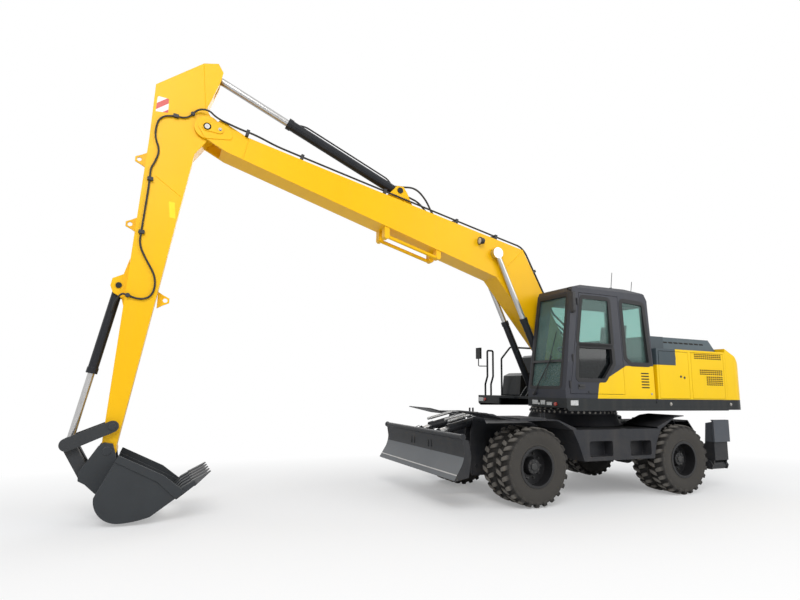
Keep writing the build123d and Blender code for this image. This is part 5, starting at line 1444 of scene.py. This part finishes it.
# ---------------------------------------------------------------- bucket
LIP = Vector((6.060, 0.330))
LIP_WAY = (LIP - Vector((6.400, 0.085))).normalized()
TEETH = 5
TOOTH_W = 0.090


def from_lip(ahead, inside):
    """Point of the side view at a distance ahead of the bucket's lip and towards its inside."""
    return LIP.x + ahead * LIP_WAY.x + inside * LIP_WAY.y, LIP.y + ahead * LIP_WAY.y - inside * LIP_WAY.x


def dress_bucket():
    """Tooth adapters, teeth and side cutters."""
    adapter = Shape()
    foot = [
        from_lip(*place) for place in (
            (-0.110, -0.016), (0.150, -0.008), (0.150, 0.044), (0.020, 0.058), (-0.130, 0.030),
        )
    ]
    plate(adapter, foot, -TOOTH_W / 2, TOOTH_W)
    point = Shape()
    low = [from_lip(*place) for place in ((0.120, -0.018), (0.120, 0.056))]
    tip = [from_lip(*place) for place in ((0.352, 0.012), (0.352, 0.022))]
    wide, narrow = TOOTH_W / 2 - 0.008, TOOTH_W / 2 - 0.020
    ends = ((low[0], wide), (low[1], wide), (tip[1], narrow), (tip[0], narrow))
    corners = [at(x, y, z) for (x, z), half in ends for y in (-half, half)]
    point.faces(
        corners, [(0, 1, 3, 2), (2, 3, 5, 4), (4, 5, 7, 6), (6, 7, 1, 0), (0, 2, 4, 6), (1, 7, 5, 3)],
    )
    pitch = 2 * (BUCKET_SIDE_Y - TOOTH_W / 2) / (TEETH - 1)
    first = Matrix.Translation((0, -(BUCKET_SIDE_Y - TOOTH_W / 2), 0))
    for shape, name, finish in ((adapter, "tooth_adapters", BUCKET_STEEL), (point, "teeth", TOOTH_STEEL)):
        row = in_rows(template(shape), finish, TEETH, (0, pitch, 0))
        row.transform(first)
        settle(row, name, "bucket", finish, 30, bevel=0.004)
    cutters = Shape()
    edge = [
        from_lip(0.010, 0), (6.290, 0.525), (6.770, 0.762), (6.800, 0.690), (6.350, 0.455),
        from_lip(-0.110, 0),
    ]
    for side in (-1, 1):
        plate(cutters, edge, side * (BUCKET_SIDE_Y - 0.002), side * 0.018)
    cutters.done("side_cutters", "bucket", BUCKET_STEEL, 30, bevel=0.003)


# ---------------------------------------------------------------- blade
GUARD_TURNS = 18


def dress_blade():
    """Blade's bright wear edge, tube end caps, and wound guards on the cylinders' hoses."""
    edge = Shape()
    face = [(2.9525, 0.492), (2.9605, 0.479), (2.950, 0.472), (2.942, 0.485)]
    edge.prism([at(x, -1.232, z) for x, z in face], Vector((0, 2.464, 0)))
    edge.done("blade_edge", "blade", POLISHED, 30, bevel=0.002)
    caps = Shape()
    for side in (-1, 1):
        stud(caps, 2.862, 0.945, side * 1.215, side * 1.2345, 0.042, 24)
    caps.done("blade_caps", "blade", FRAME_ENAMEL, 30)
    rib = Shape()
    way = Vector((1, 0, 0))
    turn_of_wire = [(-0.011, 0.0155), (-0.004, 0.021), (0.004, 0.021), (0.011, 0.0155)]
    rib.lathe(turn_of_wire, Vector(), way, Vector((0, 1, 0)), 12)
    turn = template(rib)
    guards = []
    for side in (-1, 1):
        for y, z in ((0.225, 1.190), (0.325, 1.175)):
            coil = in_rows(turn, WOUND_GUARD, GUARD_TURNS, (0.021, 0, -0.0052))
            coil.transform(Matrix.Translation(at(2.204, side * y, z)))
            guards.append(coil)
    settle(joined(guards), "hose_guards", "blade_barrels", WOUND_GUARD, 40)


dress_wheels()
window_seals()
cab_fittings()
cab_louvres()
door_fittings()
deck_lamps()
dress_seat()
dress_housing_side("left", 1)
dress_housing_side("right", -1)
skirt_fittings()
slew_bolts()
dress_boom()
work_lamp()
dress_arm()
lead_hoses()
dress_bucket()
dress_blade()


# ---------------------------------------------------------------- stage
FLOOR_REACH = 90


def make_floor():
    """Pale floor that fades to white away from the machine."""
    floor_finish = Finish("floor", Base_Color=colour(0.90, 0.90, 0.90), Roughness=0.9)
    oval = floor_finish.stretched((0.18, 0.40, 1))
    distance = floor_finish.node("ShaderNodeVectorMath", {"operation": "LENGTH"}, {0: oval}, "Value")
    white = floor_finish.tree.nodes.new("ShaderNodeEmission")
    path = floor_finish.node("ShaderNodeLightPath", out="Is Camera Ray")
    far = (distance.above(1.25, 1.3) * 0.75 + 0.25).clamped() * path
    floor_finish.two_layers(far, floor_finish.shader, white)
    data = bpy.data.meshes.new("floor")
    corners = [(x * FLOOR_REACH, y * FLOOR_REACH, 0) for x, y in ((-1, -1), (1, -1), (1, 1), (-1, 1))]
    data.from_pydata(corners, [], [(0, 1, 2, 3)])
    data.materials.append(floor_finish.material)
    floor = bpy.data.objects.new("floor", data)
    bpy.context.scene.collection.objects.link(floor)


def make_surroundings():
    """White where camera, reflection or pane look past the machine, and soft light from all round."""
    world = bpy.data.worlds.new("surroundings")
    bpy.context.scene.world = world
    world.use_nodes = True
    tree = world.node_tree
    tree.nodes.clear()
    path = tree.nodes.new("ShaderNodeLightPath")
    seen = path.outputs["Is Camera Ray"]
    for kind in ("Is Glossy Ray", "Is Transmission Ray"):
        either = tree.nodes.new("ShaderNodeMath")
        either.operation = "MAXIMUM"
        tree.links.new(seen, either.inputs[0])
        tree.links.new(path.outputs[kind], either.inputs[1])
        seen = either.outputs[0]
    lit = tree.nodes.new("ShaderNodeBackground")
    lit.inputs["Color"].default_value = (0.93, 0.96, 1.0, 1)
    lit.inputs["Strength"].default_value = 0.45
    shown = tree.nodes.new("ShaderNodeBackground")
    shown.inputs["Color"].default_value = (1, 1, 1, 1)
    mixed = tree.nodes.new("ShaderNodeMixShader")
    for number, socket in enumerate((seen, lit.outputs[0], shown.outputs[0])):
        tree.links.new(socket, mixed.inputs[number])
    out = tree.nodes.new("ShaderNodeOutputWorld")
    tree.links.new(mixed.outputs[0], out.inputs["Surface"])


def light_stage():
    """Three soft lamps."""
    middle = Vector((0, 0, 2))
    soft_lamp("key", Vector((7, 13, 12)), middle, 9, 1650)
    soft_lamp("fill", Vector((-9, 11, 7)), middle, 9, 600)
    soft_lamp("back", Vector((-3, -14, 10)), middle, 9, 500)


make_camera()
make_floor()
make_surroundings()
light_stage()
bpy.context.scene.view_settings.view_transform = "Standard"
